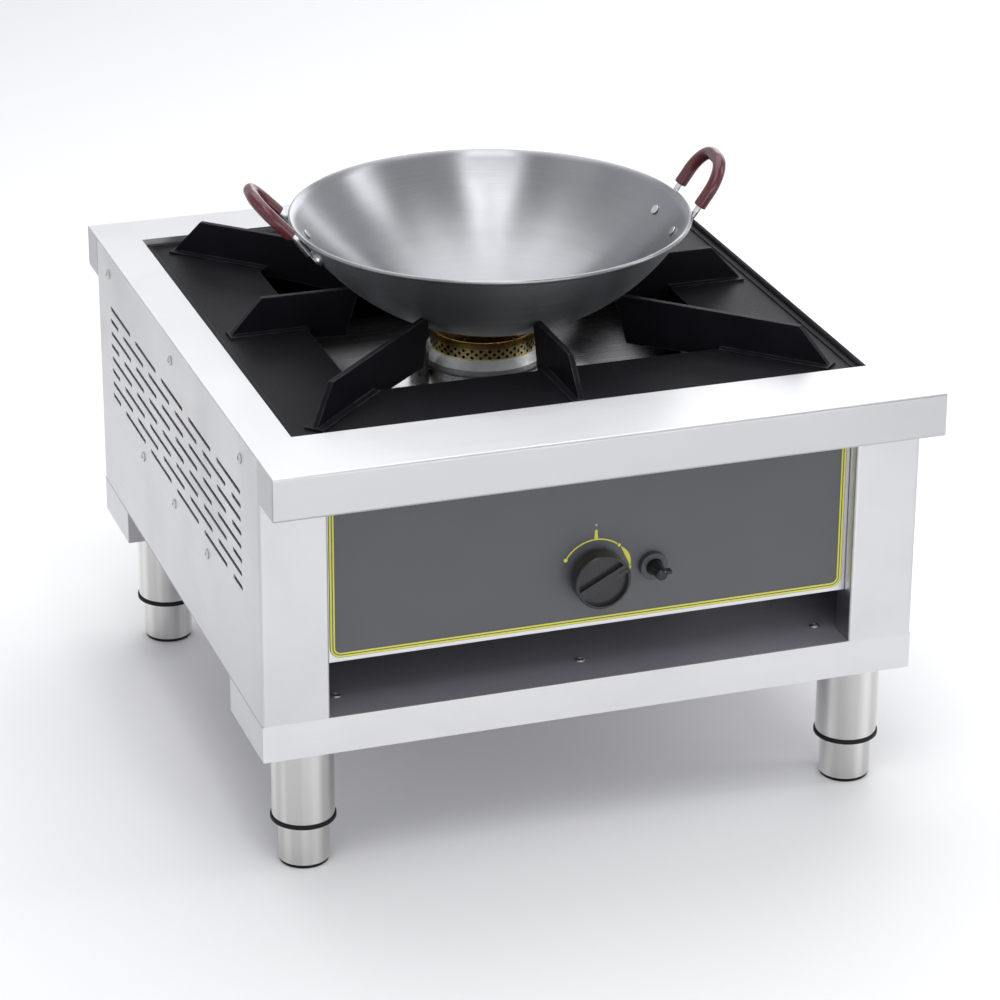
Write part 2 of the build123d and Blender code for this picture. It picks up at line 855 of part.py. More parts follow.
# ---------------------------------------------------------------- wok
def bowl():
    """The wok: a spun spherical bowl with a small flat under it and a rolled rim."""
    outer_flat = math.sqrt(bowl_radius ** 2 - (bowl_centre_z - flat_z) ** 2)
    inner_radius = bowl_radius - bowl_wall
    inner_flat_z = flat_z + bowl_wall
    inner_flat = math.sqrt(inner_radius ** 2 - (bowl_centre_z - inner_flat_z) ** 2)
    inner_rim = math.sqrt(inner_radius ** 2 - (bowl_centre_z - rim_z) ** 2)
    middle = math.radians(wall_middle_angle)
    outer_middle = (bowl_radius * math.sin(middle), bowl_centre_z - bowl_radius * math.cos(middle))
    inner_middle = (inner_radius * math.sin(middle), bowl_centre_z - inner_radius * math.cos(middle))
    outline = [
        Line((0, flat_z), (outer_flat, flat_z)),
        ThreePointArc((outer_flat, flat_z), outer_middle, (rim_radius, rim_z)),
        Line((rim_radius, rim_z), (inner_rim, rim_z)),
        ThreePointArc((inner_rim, rim_z), inner_middle, (inner_flat, inner_flat_z)),
        Line((inner_flat, inner_flat_z), (0, inner_flat_z)),
        Line((0, inner_flat_z), (0, flat_z)),
    ]
    section = Plane.XZ * make_face(outline)
    solid = revolve(section, Axis.Z)
    bevel = bead_bevel
    bead = [
        (inner_rim, rim_z - bevel),
        (inner_rim + bevel, rim_z + bead_height / 2),
        (rim_radius + bead_width - bevel, rim_z + bead_height / 2),
        (rim_radius + bead_width, rim_z),
        (rim_radius + bead_width - bevel, rim_z - bead_height / 2),
        (rim_radius - bevel, rim_z - bead_height / 2),
    ]
    solid += revolve(Plane.XZ * make_face(Polyline(*bead, close=True)), Axis.Z)
    solid = Pos(cook_x, well_y, 0) * solid
    for heading in handle_headings:
        for side in (-1, 1):
            solid -= eye_place(heading, side) * Cylinder(rivet_radius + fixed_gap, drill_length)
    return solid


def eye_place(heading, side):
    """The frame of a handle foot's eye: on the bowl's outer face, z axis pointing outwards."""
    swing = math.degrees(math.asin(handle_half_span / rim_radius))
    polar = rim_polar - math.degrees(foot_wire_length / bowl_radius)
    centre = Pos(cook_x, well_y, bowl_centre_z) * Rot(0, 0, heading + side * swing)
    return centre * Rot(0, 180 - polar, 0) * Pos(0, 0, bowl_radius)


def handle_points(heading, flare):
    """The corners of a handle's centre line, from one eye over the loop to the other."""
    standoff = wire_radius + wire_standoff
    clear_radius = rim_radius + bead_width + wire_bead_gap + wire_radius
    base_radius = math.sqrt(clear_radius ** 2 - handle_half_span ** 2)
    lean = math.radians(90 - rim_polar + flare)
    top_radius = base_radius + handle_reach * math.sin(lean)
    top_z = rim_z + handle_reach * math.cos(lean)
    frame = Pos(cook_x, well_y, 0) * Rot(0, 0, heading)
    corners = []
    for side in (-1, 1):
        eye = (eye_place(heading, side) * Pos(0, 0, standoff)).position
        base = (frame * Pos(base_radius, side * handle_half_span, rim_z)).position
        top = (frame * Pos(top_radius, side * handle_half_span, top_z)).position
        corners.append([eye, base, top])
    return corners[0] + corners[1][::-1]


def handle_wire(heading, flare):
    """A bent wire loop with a flattened, drilled eye at each end."""
    points = handle_points(heading, flare)
    bends = [handle_bend, handle_corner, handle_corner, handle_bend]
    path = FilletPolyline(*points, radius=bends)
    wire = sweep(Plane(origin=path @ 0, z_dir=path % 0) * Circle(wire_radius), path=path)
    for side in (-1, 1):
        place = eye_place(heading, side)
        eye = Pos(0, 0, fixed_gap + wire_standoff) * Cylinder(eye_radius, eye_thickness)
        wire += place * eye
    for side in (-1, 1):
        place = eye_place(heading, side)
        wire -= place * Cylinder(rivet_radius + fixed_gap, drill_length)
        wire -= place * Pos(0, 0, eye_top + eye_radius) * Cylinder(eye_radius, 2 * eye_radius)
    return wire


def handle_grip(heading, flare):
    """The plastic sleeve over a handle's loop."""
    points = handle_points(heading, flare)[1:5]
    for end, inner in ((0, 1), (3, 2)):
        points[end] = points[end] + (points[inner] - points[end]).normalized() * grip_start
    path = FilletPolyline(*points, radius=handle_corner)
    frame = Plane(origin=path @ 0, z_dir=path % 0)
    sleeve = sweep(frame * Circle(grip_radius), path=path)
    return sleeve - sweep(frame * Circle(wire_radius + fixed_gap), path=path)


def wok_rivets():
    """The rivets that hold both handles, headed inside and outside the bowl."""
    rivets = []
    for heading in handle_headings:
        for side in (-1, 1):
            length = bowl_wall + rivet_head_sag + eye_top
            shank = Pos(0, 0, eye_top - length / 2) * Cylinder(rivet_radius, length)
            head = Cylinder(rivet_head_radius, rivet_head_height)
            outer = Pos(0, 0, eye_top + rivet_head_height / 2) * head
            inner = Pos(0, 0, -bowl_wall - rivet_head_height / 2 - rivet_head_sag) * head
            rivets.append(eye_place(heading, side) * (shank + outer + inner))
    return rivets


# ---------------------------------------------------------------- burner
def crown():
    """The brass crown: a many-sided ring with staggered rows of gas ports under a plain band."""
    sides = 2 * ports_per_row
    facet = 360 / sides
    inner_radius = crown_radius - crown_wall
    ring = extrude(RegularPolygon(crown_radius, sides), crown_height)
    ring -= extrude(RegularPolygon(inner_radius, sides), crown_height)
    port = Rot(0, 90, 0) * extrude(RegularPolygon(port_radius, port_sides), 3 * crown_wall)
    ports = []
    for row in range(port_rows):
        z = port_first_rise + row * port_row_pitch
        for i in range(ports_per_row):
            facet_middle = (2 * i + row % 2) * facet + facet / 2
            ports.append(Rot(0, 0, facet_middle) * Pos(inner_radius - crown_wall, 0, z) * port)
    ring -= ports
    return Pos(burner_x, well_y, crown_foot_z) * ring


def cap():
    """The brass cap that closes the crown, slightly domed."""
    base = crown_foot_z + crown_height
    profile = [
        (0, base),
        (cap_radius, base),
        (cap_radius, base + cap_thickness / 2),
        (cap_flat_radius, base + cap_thickness),
        (0, base + cap_thickness),
    ]
    return turned(profile, burner_x, well_y)


def pilot_frame(turn):
    """The place of one pilot part beside the burner, turned from the group's middle."""
    return Pos(burner_x, well_y, 0) * Rot(0, 0, pilot_angle + turn) * Pos(pilot_reach, 0, 0)


def burner_body():
    """The cast body: seat for the crown, flared skirt, neck, mixing chamber and pilot lug."""
    flare_z = height - burner_flare_drop
    shoulder_z = height - burner_shoulder_drop
    neck_z = height - burner_neck_drop
    outer = [
        (0, support_top),
        (burner_neck_radius, support_top),
        (burner_neck_radius, neck_z),
        (burner_flare_radius, shoulder_z),
        (burner_flare_radius, flare_z),
        (burner_rim_radius, crown_foot_z),
        (0, crown_foot_z),
    ]
    chamber = [
        (0, support_top + burner_wall),
        (burner_neck_radius - burner_wall, support_top + burner_wall),
        (burner_neck_radius - burner_wall, neck_z),
        (crown_radius - 2 * crown_wall, shoulder_z + burner_wall),
        (crown_radius - 2 * crown_wall, crown_foot_z),
        (0, crown_foot_z),
    ]
    solid = turned(outer, burner_x, well_y)
    solid += along_y(burner_x, mixer_z, well_y - mixer_boss_reach, well_y, mixer_boss_radius)
    lug_top = height - pilot_plate_drop
    lug = block(-pilot_reach, pilot_lug_reach - pilot_reach, -pilot_lug_width / 2, pilot_lug_width / 2,
                lug_top - pilot_lug_thickness, lug_top)
    solid += pilot_frame(0) * lug
    solid -= turned(chamber, burner_x, well_y)
    solid -= along_y(burner_x, mixer_z, well_y - mixer_boss_reach, well_y, mixer_radius - mixer_wall)
    return solid


def mixing_tube():
    """The tube that mixes air and gas: a flange at the body, a straight run and a wide mouth."""
    bore = mixer_radius - mixer_wall
    profile = [
        (bore, mixer_rear),
        (mixer_boss_radius, mixer_rear),
        (mixer_boss_radius, mixer_rear - mixer_flange),
        (mixer_radius, mixer_rear - mixer_flange),
        (mixer_radius, mixer_front + mixer_mouth_length),
        (mixer_mouth_radius, mixer_front),
        (mixer_mouth_radius - mixer_wall, mixer_front),
        (bore, mixer_front + mixer_mouth_length),
    ]
    return turned_y(profile, burner_x, mixer_z)


def air_shutter():
    """The disc at the mixing tube's mouth that sets how much air enters."""
    disc = along_y(burner_x, mixer_z, shutter_front, mixer_front, mixer_mouth_radius)
    return disc - along_y(burner_x, mixer_z, shutter_front, mixer_front, shutter_hole_radius)


def injector():
    """The brass jet that blows gas into the mixing tube."""
    start = injector_tip - injector_length
    jet = along_y(burner_x, mixer_z, start, injector_tip, injector_radius)
    return jet - along_y(burner_x, mixer_z, start, injector_tip, injector_bore)


def injector_holder():
    """The brass block that carries the injector and takes the main pipe."""
    rear = holder_front + holder_length
    body = along_y(burner_x, mixer_z, holder_front, rear, holder_radius)
    return body - along_y(burner_x, mixer_z, holder_front, rear, main_radius - pipe_wall)


def injector_bracket():
    """A folded strap from the support bar's front wall to a drilled upright round the holder."""
    upright_y = holder_front + holder_length / 2
    half = holder_bracket_width / 2
    bottom = mixer_z - holder_bracket_drop
    bar_front = well_y - support_width / 2
    strap = block(burner_x - half, burner_x + half, upright_y, bar_front, bottom, bottom + sheet)
    tab = block(burner_x - half, burner_x + half, upright_y, upright_y + sheet, bottom, mixer_z + half)
    end = block(burner_x - half, burner_x + half, bar_front - sheet, bar_front,
                bottom, support_top - 2 * sheet)
    hole = along_y(burner_x, mixer_z, upright_y, upright_y + sheet, holder_radius + fixed_gap)
    return strap + tab + end - hole


def burner_support():
    """The folded bar from side to side that carries the burner."""
    inner = half_width - sheet
    y0 = well_y - support_width / 2
    y1 = well_y + support_width / 2
    corners = [
        (y0, support_top - support_height),
        (y0, support_top),
        (y1, support_top),
        (y1, support_top - support_height),
    ]
    section = Plane.YZ * folded(corners, sheet, Side.RIGHT)
    return Pos(-inner, 0, 0) * extrude(section, 2 * inner)


def pilot_bracket():
    """The drilled plate on the burner's lug that holds the pilot, probe and electrode."""
    base = height - pilot_plate_drop
    plate = block(pilot_plate_in - pilot_reach, pilot_plate_out - pilot_reach,
                  -pilot_plate_width / 2, pilot_plate_width / 2, base, base + sheet)
    plate = pilot_frame(0) * plate
    for turn, radius in pilot_parts.values():
        plate -= pilot_frame(turn) * upright(0, 0, base, base + sheet, radius + fixed_gap)
    return plate


def pilot_burner():
    """The pilot: a small tube with its mouth cut away towards the crown."""
    top = height - pilot_top_drop
    tube = upright(0, 0, height - pilot_bottom_drop, top, pilot_radius)
    mouth = block(-pilot_radius, 0, -pilot_radius, pilot_radius, top - pilot_radius, top)
    return pilot_frame(pilot_parts["pilot"][0]) * (tube - mouth)


def thermocouple():
    """The flame probe beside the pilot."""
    rod = upright(0, 0, height - pilot_bottom_drop, height - probe_top_drop, probe_radius)
    return pilot_frame(pilot_parts["probe"][0]) * rod


def spark_electrode():
    """The ceramic insulator with its spark wire."""
    ceramic_top = height - ceramic_top_drop
    body = upright(0, 0, height - pilot_bottom_drop, ceramic_top, ceramic_radius)
    wire = upright(0, 0, ceramic_top, height - spark_top_drop, spark_radius)
    return pilot_frame(pilot_parts["spark"][0]) * (body + wire)


# ---------------------------------------------------------------- pipes and inlet
def inlet_fitting():
    """The threaded gas inlet through the rear panel, with its inner hexagon and shank."""
    wall_inner = body_rear - 2 * sheet
    hexagon = extrude(RegularPolygon(inlet_hex_radius, 6), inlet_hex_length)
    fitting = Pos(inlet_x, wall_inner, inlet_z) * Rot(90, 0, 0) * hexagon
    nut_end = body_rear - sheet + locknut_length
    thread_end = nut_end + inlet_thread_length
    fitting += along_y(inlet_x, inlet_z, wall_inner, nut_end, inlet_root_radius)
    fitting += along_y(inlet_x, inlet_z, nut_end, thread_end, inlet_thread_radius)
    shank_start = wall_inner - inlet_hex_length - inlet_shank_length
    fitting += along_y(inlet_x, inlet_z, shank_start, wall_inner, inlet_shank_radius)
    return fitting - along_y(inlet_x, inlet_z, shank_start, thread_end, inlet_bore)


def inlet_locknut():
    """The nut that clamps the inlet to the rear panel from outside."""
    start = body_rear - sheet
    nut = extrude(RegularPolygon(locknut_radius, 6), locknut_length)
    nut -= extrude(Circle(inlet_root_radius + fixed_gap), locknut_length)
    return Pos(inlet_x, start + locknut_length, inlet_z) * Rot(90, 0, 0) * nut


def supply_pipe():
    """From the inlet forward along the left side, then across to the tap."""
    start_y = body_rear - 2 * sheet - inlet_hex_length - inlet_shank_length
    points = [
        (inlet_x, start_y, inlet_z),
        (inlet_x, tap_port_y, inlet_z),
        (knob_x - supply_inset, tap_port_y, inlet_z),
        (knob_x - supply_inset, tap_port_y, knob_z),
        (knob_x - boss_length, tap_port_y, knob_z),
    ]
    return pipe(points, supply_radius, supply_bend)


def main_pipe():
    """From the tap up to the injector holder."""
    points = [
        (burner_x, tap_port_y, knob_z + boss_length),
        (burner_x, tap_port_y, mixer_z),
        (burner_x, holder_front, mixer_z),
    ]
    return pipe(points, main_radius, pipe_bend)


def pilot_pipe():
    """The thin pipe from the tap's rear to the pilot."""
    foot = pilot_frame(pilot_parts["pilot"][0]) * Pos(0, 0, height - pilot_bottom_drop)
    foot_of_pilot = foot.position
    rear = panel_back + tap_body_length
    points = [
        (knob_x, rear, knob_z),
        (knob_x, rear + pilot_pipe_lead, knob_z),
        (foot_of_pilot.X, rear + 2 * pilot_pipe_lead, knob_z),
        (foot_of_pilot.X, foot_of_pilot.Y, foot_of_pilot.Z - pilot_pipe_rise),
        (foot_of_pilot.X, foot_of_pilot.Y, foot_of_pilot.Z),
    ]
    return pipe(points, pilot_pipe_radius, pipe_bend)


# ---------------------------------------------------------------- write every piece
save(worktop(), "worktop")
save(well_frame(), "well_frame")
save(side_panel(-1), "left_side_panel")
save(side_panel(1), "right_side_panel")
save(rear_panel(), "rear_panel")
save(floor_plate(), "floor_plate")
save(front_cross_member(), "front_cross_member")
save(drilled_beam(body_rear - rear_beam_depth, body_rear), "rear_cross_member")
save(casing_screws(), "casing_screws")
save(floor_bolts(), "floor_bolts")
save([leg_tube(*place) for place in leg_places.values()], "leg_tubes")
save([leg_collar(*place) for place in leg_places.values()], "leg_collars")
for corner, place in leg_places.items():
    save(foot(*place), f"foot_{corner}")
    save(pad(*place), f"foot_pad_{corner}")
save(control_panel(), "control_panel")
save(fascia(), "fascia")
save(tap_body(), "tap_body")
save(tap_plug(), "tap_plug")
save(tap_stem(), "tap_stem")
save(knob(), "knob")
save(igniter_collar(), "igniter_collar")
save(igniter_button(), "igniter_button")
save(igniter_body(), "igniter_body")
save(grate_plate(), "grate_plate")
save(grate_fins(), "grate_fins")
save(spill_pan_flange(), "spill_pan_flange")
save(spill_pan_walls(), "spill_pan_walls")
save(spill_pan_floor(), "spill_pan_floor")
save(bowl(), "wok_bowl")
for heading, (side_name, flare) in zip(handle_headings, handle_flares.items()):
    save(handle_wire(heading, flare), f"wok_handle_{side_name}")
    save(handle_grip(heading, flare), f"wok_grip_{side_name}")
save(wok_rivets(), "wok_rivets")
save(crown(), "burner_crown")
save(cap(), "burner_cap")
save(burner_body(), "burner_body")
save(mixing_tube(), "mixing_tube")
save(air_shutter(), "air_shutter")
save(injector(), "injector")
save(injector_holder(), "injector_holder")
save(injector_bracket(), "injector_bracket")
save(burner_support(), "burner_support")
save(pilot_bracket(), "pilot_bracket")
save(pilot_burner(), "pilot_burner")
save(thermocouple(), "thermocouple")
save(spark_electrode(), "spark_electrode")
save(inlet_fitting(), "inlet_fitting")
save(inlet_locknut(), "inlet_locknut")
save(supply_pipe(), "supply_pipe")
save(main_pipe(), "main_pipe")
save(pilot_pipe(), "pilot_pipe")
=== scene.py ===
"""Gas wok range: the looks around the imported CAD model, in metres, in the same frame."""
import json
import math

import bmesh
import bpy
from mathutils import Matrix, Vector

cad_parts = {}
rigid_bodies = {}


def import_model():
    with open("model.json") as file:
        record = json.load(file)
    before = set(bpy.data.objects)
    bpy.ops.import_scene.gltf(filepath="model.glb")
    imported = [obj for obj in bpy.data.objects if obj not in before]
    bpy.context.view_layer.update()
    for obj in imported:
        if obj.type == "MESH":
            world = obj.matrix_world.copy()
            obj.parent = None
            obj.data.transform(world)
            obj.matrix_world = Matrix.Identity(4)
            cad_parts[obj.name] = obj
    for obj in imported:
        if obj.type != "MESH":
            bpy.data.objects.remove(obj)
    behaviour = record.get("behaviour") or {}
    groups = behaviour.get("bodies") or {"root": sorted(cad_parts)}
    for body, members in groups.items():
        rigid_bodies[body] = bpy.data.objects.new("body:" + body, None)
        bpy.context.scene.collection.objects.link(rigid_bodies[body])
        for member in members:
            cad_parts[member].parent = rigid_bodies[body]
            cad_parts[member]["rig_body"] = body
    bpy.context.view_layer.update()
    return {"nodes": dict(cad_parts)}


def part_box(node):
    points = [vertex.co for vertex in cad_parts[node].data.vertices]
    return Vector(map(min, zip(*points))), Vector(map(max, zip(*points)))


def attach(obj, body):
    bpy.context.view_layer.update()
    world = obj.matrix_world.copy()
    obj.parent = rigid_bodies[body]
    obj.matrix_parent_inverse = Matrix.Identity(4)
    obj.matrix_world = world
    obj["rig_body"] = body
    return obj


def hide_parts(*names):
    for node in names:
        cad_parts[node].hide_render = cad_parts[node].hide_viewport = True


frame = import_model()
nodes = frame["nodes"]


# ================================================================ studio
# A seamless white sweep with a pale floor, a bright ceiling bank, and softer banks at
# the sides. The camera stands where the photographer stood, a little above the range
# and off its left front corner, with a long lens.
def linked(thing):
    """Puts an object into the scene."""
    bpy.context.scene.collection.objects.link(thing)
    return thing


def aimed(thing, place, target):
    """Stands an object at a place and turns its -Z axis to a target."""
    thing.location = place
    thing.rotation_mode = "QUATERNION"
    thing.rotation_quaternion = (Vector(target) - Vector(place)).to_track_quat("-Z", "Y")
    return thing


def soft_light(name, place, target, width, height, power):
    """A rectangular soft box."""
    lamp = bpy.data.lights.new(name, "AREA")
    lamp.shape = "RECTANGLE"
    lamp.size = width
    lamp.size_y = height
    lamp.energy = power
    return aimed(linked(bpy.data.objects.new(name, lamp)), place, target)


lens_length = 134.43
film_width = 36
camera_place = Vector((-0.94541, -2.76027, 1.45568))
camera_forward = Vector((0.29908, 0.86688, -0.39885)).normalized()
camera_roll = math.radians(0.327)
camera_data = bpy.data.cameras.new("camera")
camera_data.lens = lens_length
camera_data.sensor_width = film_width
camera = linked(bpy.data.objects.new("camera", camera_data))
camera_right = camera_forward.cross(Vector((0, 0, 1))).normalized()
camera_up = camera_right.cross(camera_forward)
rolled_right = camera_right * math.cos(camera_roll) + camera_up * math.sin(camera_roll)
rolled_up = rolled_right.cross(camera_forward)
turn = Matrix((rolled_right, rolled_up, -camera_forward)).transposed()
camera.matrix_world = Matrix.Translation(camera_place) @ turn.to_4x4()
bpy.context.scene.camera = camera

bpy.context.scene.view_settings.view_transform = "Standard"

range_middle = (0, 0, 0.25)
soft_light("ceiling_bank", (0.2, 0.8, 2.3), (0, 0.1, 0.3), width=2.4, height=2.0, power=33)
soft_light("back_bank", (2.2, 3.0, 1.35), (0.3, 0, 0.4), width=2.9, height=1.8, power=31)
soft_light("key_bank", (2.5, -0.6, 1.8), range_middle, width=0.6, height=1.8, power=13)
soft_light("left_bank", (-2.4, -0.7, 1.3), range_middle, width=1.6, height=1.4, power=4)
soft_light("front_fill", (0.35, -3.2, 0.6), (0, -0.2, 0.1), width=2.6, height=1.0, power=23)
wok_rim_middle = (0, 0, 0.42)
strip_middle = Vector((-0.34, -0.95, 2.3))
strip_heading = Vector((0.945, -0.326, 0))
strip_length = 1.5
strips = {"left": (-0.36, 0.2, 4), "middle": (0, 0.5, 6), "right": (0.36, 0.2, 5)}
for name, (shift, width, power) in strips.items():
    place = strip_middle + shift * strip_heading
    soft_light("wok_strip_" + name, place, wok_rim_middle, width, strip_length, power)

world = bpy.data.worlds.new("studio")
bpy.context.scene.world = world
world.use_nodes = True
sky_tree = world.node_tree
backdrop = sky_tree.nodes["Background"]
backdrop.inputs["Color"].default_value = (0.92, 0.93, 0.97, 1)
side_level = 0.84
overhead_level = 0.3
sky_place = sky_tree.nodes.new("ShaderNodeTexCoord")
sky_parts = sky_tree.nodes.new("ShaderNodeSeparateXYZ")
sky_level = sky_tree.nodes.new("ShaderNodeMapRange")
sky_fade = {"From Min": 0.4, "From Max": 0.8, "To Min": side_level, "To Max": overhead_level}
for socket, value in sky_fade.items():
    sky_level.inputs[socket].default_value = value
sky_tree.links.new(sky_place.outputs["Generated"], sky_parts.inputs[0])
sky_tree.links.new(sky_parts.outputs["Z"], sky_level.inputs["Value"])
sky_tree.links.new(sky_level.outputs[0], backdrop.inputs["Strength"])

half_floor = 7
floor_mesh = bpy.data.meshes.new("studio_floor")
floor_corners = [(-half_floor, -half_floor, 0), (half_floor, -half_floor, 0),
                 (half_floor, half_floor, 0), (-half_floor, half_floor, 0)]
floor_mesh.from_pydata(floor_corners, [], [(0, 1, 2, 3)])
floor = linked(bpy.data.objects.new("studio_floor", floor_mesh))
floor_finish = bpy.data.materials.new("pale_floor")
floor_finish.use_nodes = True
floor_shader = floor_finish.node_tree.nodes["Principled BSDF"]
floor_shader.inputs["Base Color"].default_value = (0.9, 0.9, 0.905, 1)
floor_shader.inputs["Roughness"].default_value = 0.7
floor_shader.inputs["Specular IOR Level"].default_value = 0.2
floor_mesh.materials.append(floor_finish)


# ================================================================ casing
# Folded sheets of brushed stainless steel, 1.5 mm thick: two cross members, two side
# panels with posts and slots, the back sheet and the pressed worktop. The floor sheet is bolted
# to the cross members, and painted dark as the shade and dark reflections inside the casing. Edges are
# broken, and the grain runs lengthwise.
def shader_node(tree, kind, plugs=(), **settings):
    """A shader node with its properties set and its sockets filled or linked."""
    made = tree.nodes.new("ShaderNode" + kind)
    for key, value in settings.items():
        setattr(made, key, value)
    for socket, value in dict(plugs).items():
        if isinstance(value, bpy.types.NodeSocket):
            tree.links.new(value, made.inputs[socket])
        else:
            made.inputs[socket].default_value = value
    return made


def shader_group(name, inputs, outputs):
    """An empty node group with named sockets, and its input and output nodes."""
    tree = bpy.data.node_groups.new(name, "ShaderNodeTree")
    for socket, kind, value in inputs:
        made = tree.interface.new_socket(socket, in_out="INPUT", socket_type="NodeSocket" + kind)
        made.default_value = value
    for socket, kind in outputs:
        tree.interface.new_socket(socket, in_out="OUTPUT", socket_type="NodeSocket" + kind)
    return tree, tree.nodes.new("NodeGroupInput"), tree.nodes.new("NodeGroupOutput")


def build_grain():
    """Streaks or speckle, by how far the noise is stretched along each axis."""
    tree, given, result = shader_group(
        "surface_grain",
        [("Stretch", "Vector", (400, 400, 400)), ("Detail", "Float", 3)],
        [("Grain", "Float")])
    place = shader_node(tree, "TexCoord").outputs["Object"]
    stretched = shader_node(tree, "VectorMath", {0: place, 1: given.outputs["Stretch"]},
                            operation="MULTIPLY")
    noise = shader_node(tree, "TexNoise", {"Vector": stretched.outputs[0], "Scale": 1,
                                           "Detail": given.outputs["Detail"], "Roughness": 0.6})
    tree.links.new(noise.outputs["Fac"], result.inputs["Grain"])
    return tree


def build_edge_wear():
    """A mask that is white along worn convex edges, broken up by noise."""
    tree, given, result = shader_group(
        "edge_wear", [("Reach", "Float", 0.0015), ("Breakup", "Float", 60)], [("Worn", "Float")])
    rounded = shader_node(tree, "Bevel", {"Radius": given.outputs["Reach"]}, samples=4)
    facing = shader_node(tree, "NewGeometry").outputs["Normal"]
    match = shader_node(tree, "VectorMath", {0: rounded.outputs[0], 1: facing},
                        operation="DOT_PRODUCT")
    edge = shader_node(tree, "MapRange", {"Value": match.outputs["Value"], "From Min": 0.995,
                                          "From Max": 0.9, "To Min": 0, "To Max": 1})
    place = shader_node(tree, "TexCoord").outputs["Object"]
    noise = shader_node(tree, "TexNoise", {"Vector": place, "Scale": given.outputs["Breakup"],
                                           "Detail": 4})
    patch = shader_node(tree, "MapRange", {"Value": noise.outputs["Fac"], "From Min": 0.4,
                                           "From Max": 0.62, "To Min": 0.25, "To Max": 1})
    worn = shader_node(tree, "Math", {0: edge.outputs[0], 1: patch.outputs[0]},
                       operation="MULTIPLY")
    tree.links.new(worn.outputs[0], result.inputs["Worn"])
    return tree


def build_handling():
    """Two masks: soft blotches left by wiping, and dust that settles on upward faces."""
    tree, given, result = shader_group(
        "handling_marks", [("Size", "Float", 9)], [("Smears", "Float"), ("Dust", "Float")])
    place = shader_node(tree, "TexCoord").outputs["Object"]
    broad = shader_node(tree, "TexNoise", {"Vector": place, "Scale": given.outputs["Size"],
                                           "Detail": 5, "Distortion": 0.8})
    smears = shader_node(tree, "MapRange", {"Value": broad.outputs["Fac"], "From Min": 0.42,
                                            "From Max": 0.7, "To Min": 0, "To Max": 1})
    facing = shader_node(tree, "NewGeometry").outputs["Normal"]
    upward = shader_node(tree, "SeparateXYZ", {0: facing})
    level = shader_node(tree, "MapRange", {"Value": upward.outputs["Z"], "From Min": 0.5,
                                           "From Max": 1, "To Min": 0, "To Max": 1})
    fine = shader_node(tree, "TexNoise", {"Vector": place, "Scale": 420, "Detail": 3})
    dust = shader_node(tree, "Math", {0: level.outputs[0], 1: fine.outputs["Fac"]},
                       operation="MULTIPLY")
    tree.links.new(smears.outputs[0], result.inputs["Smears"])
    tree.links.new(dust.outputs[0], result.inputs["Dust"])
    return tree


surface_grain = build_grain()
edge_wear = build_edge_wear()
handling_marks = build_handling()


def grouped(tree, group, plugs=()):
    """Places a shared group in a material."""
    made = shader_node(tree, "Group", node_tree=group)
    for socket, value in dict(plugs).items():
        made.inputs[socket].default_value = value
    return made


def mixed(tree, amount, first, second):
    """The colour between two colours by a mask, with a Mix node's colour sockets 6 and 7."""
    node = shader_node(tree, "Mix", {0: amount, 6: first, 7: second}, data_type="RGBA")
    return node.outputs[2]


def scaled(tree, value, factor):
    """A mask times a number."""
    return shader_node(tree, "Math", {0: value, 1: factor}, operation="MULTIPLY").outputs[0]


def ranged(tree, value, low, high, out_low, out_high):
    """A value moved from one range to another."""
    plugs = {"Value": value, "From Min": low, "From Max": high, "To Min": out_low, "To Max": out_high}
    return shader_node(tree, "MapRange", plugs).outputs[0]


def new_finish(name):
    """A material, its tree and its Principled shader."""
    material = bpy.data.materials.new(name)
    material.use_nodes = True
    tree = material.node_tree
    return material, tree, tree.nodes["Principled BSDF"]


grain_share = 0.12
smear_dulling = 0.05
dust_colour = (0.32, 0.31, 0.3, 1)


def finish(name, colour, second, roughness, spread=0.06, metallic=0.0, stretch=(300, 300, 300),
           relief=0.00002, smears=0.3, smear_size=9, wear=0.4, wear_colour=None, dust=0.0,
           specular=0.5, brushing=None, bands=None):
    """A worn surface: two tones by blotches, grain in gloss and relief, worn edges, dust."""
    material, tree, shader = new_finish(name)
    grain = grouped(tree, surface_grain, {"Stretch": stretch}).outputs["Grain"]
    marks = grouped(tree, handling_marks, {"Size": smear_size})
    worn = grouped(tree, edge_wear).outputs["Worn"]
    tone = mixed(tree, scaled(tree, marks.outputs["Smears"], smears), (*colour, 1), (*second, 1))
    if bands:
        broad = grouped(tree, surface_grain, {"Stretch": bands, "Detail": 1}).outputs["Grain"]
        tone = mixed(tree, ranged(tree, broad, 0.4, 0.6, 0, 0.85), tone, (*second, 1))
    grained = mixed(tree, scaled(tree, grain, grain_share), tone, (*second, 1))
    edged = mixed(tree, scaled(tree, worn, wear), grained, (*(wear_colour or second), 1))
    dusty = mixed(tree, scaled(tree, marks.outputs["Dust"], dust), edged, dust_colour)
    tree.links.new(dusty, shader.inputs["Base Color"])
    gloss = ranged(tree, grain, 0.25, 0.75, roughness - spread, roughness + spread)
    dulled = scaled(tree, marks.outputs["Smears"], smear_dulling)
    wiped = shader_node(tree, "Math", {0: gloss, 1: dulled}, operation="ADD").outputs[0]
    tree.links.new(wiped, shader.inputs["Roughness"])
    bump = shader_node(tree, "Bump", {"Height": grain, "Strength": 1, "Distance": relief})
    tree.links.new(bump.outputs[0], shader.inputs["Normal"])
    shader.inputs["Metallic"].default_value = metallic
    shader.inputs["Specular IOR Level"].default_value = specular
    if brushing:
        grain_way = shader_node(tree, "CombineXYZ", dict(zip("XYZ", brushing)))
        tree.links.new(grain_way.outputs[0], shader.inputs["Tangent"])
        shader.inputs["Anisotropic"].default_value = 0.8
        shader.inputs["Anisotropic Rotation"].default_value = 0.25
    return material


def clothed(node, material):
    """Gives a CAD piece a finish."""
    nodes[node].data.materials.clear()
    nodes[node].data.materials.append(material)


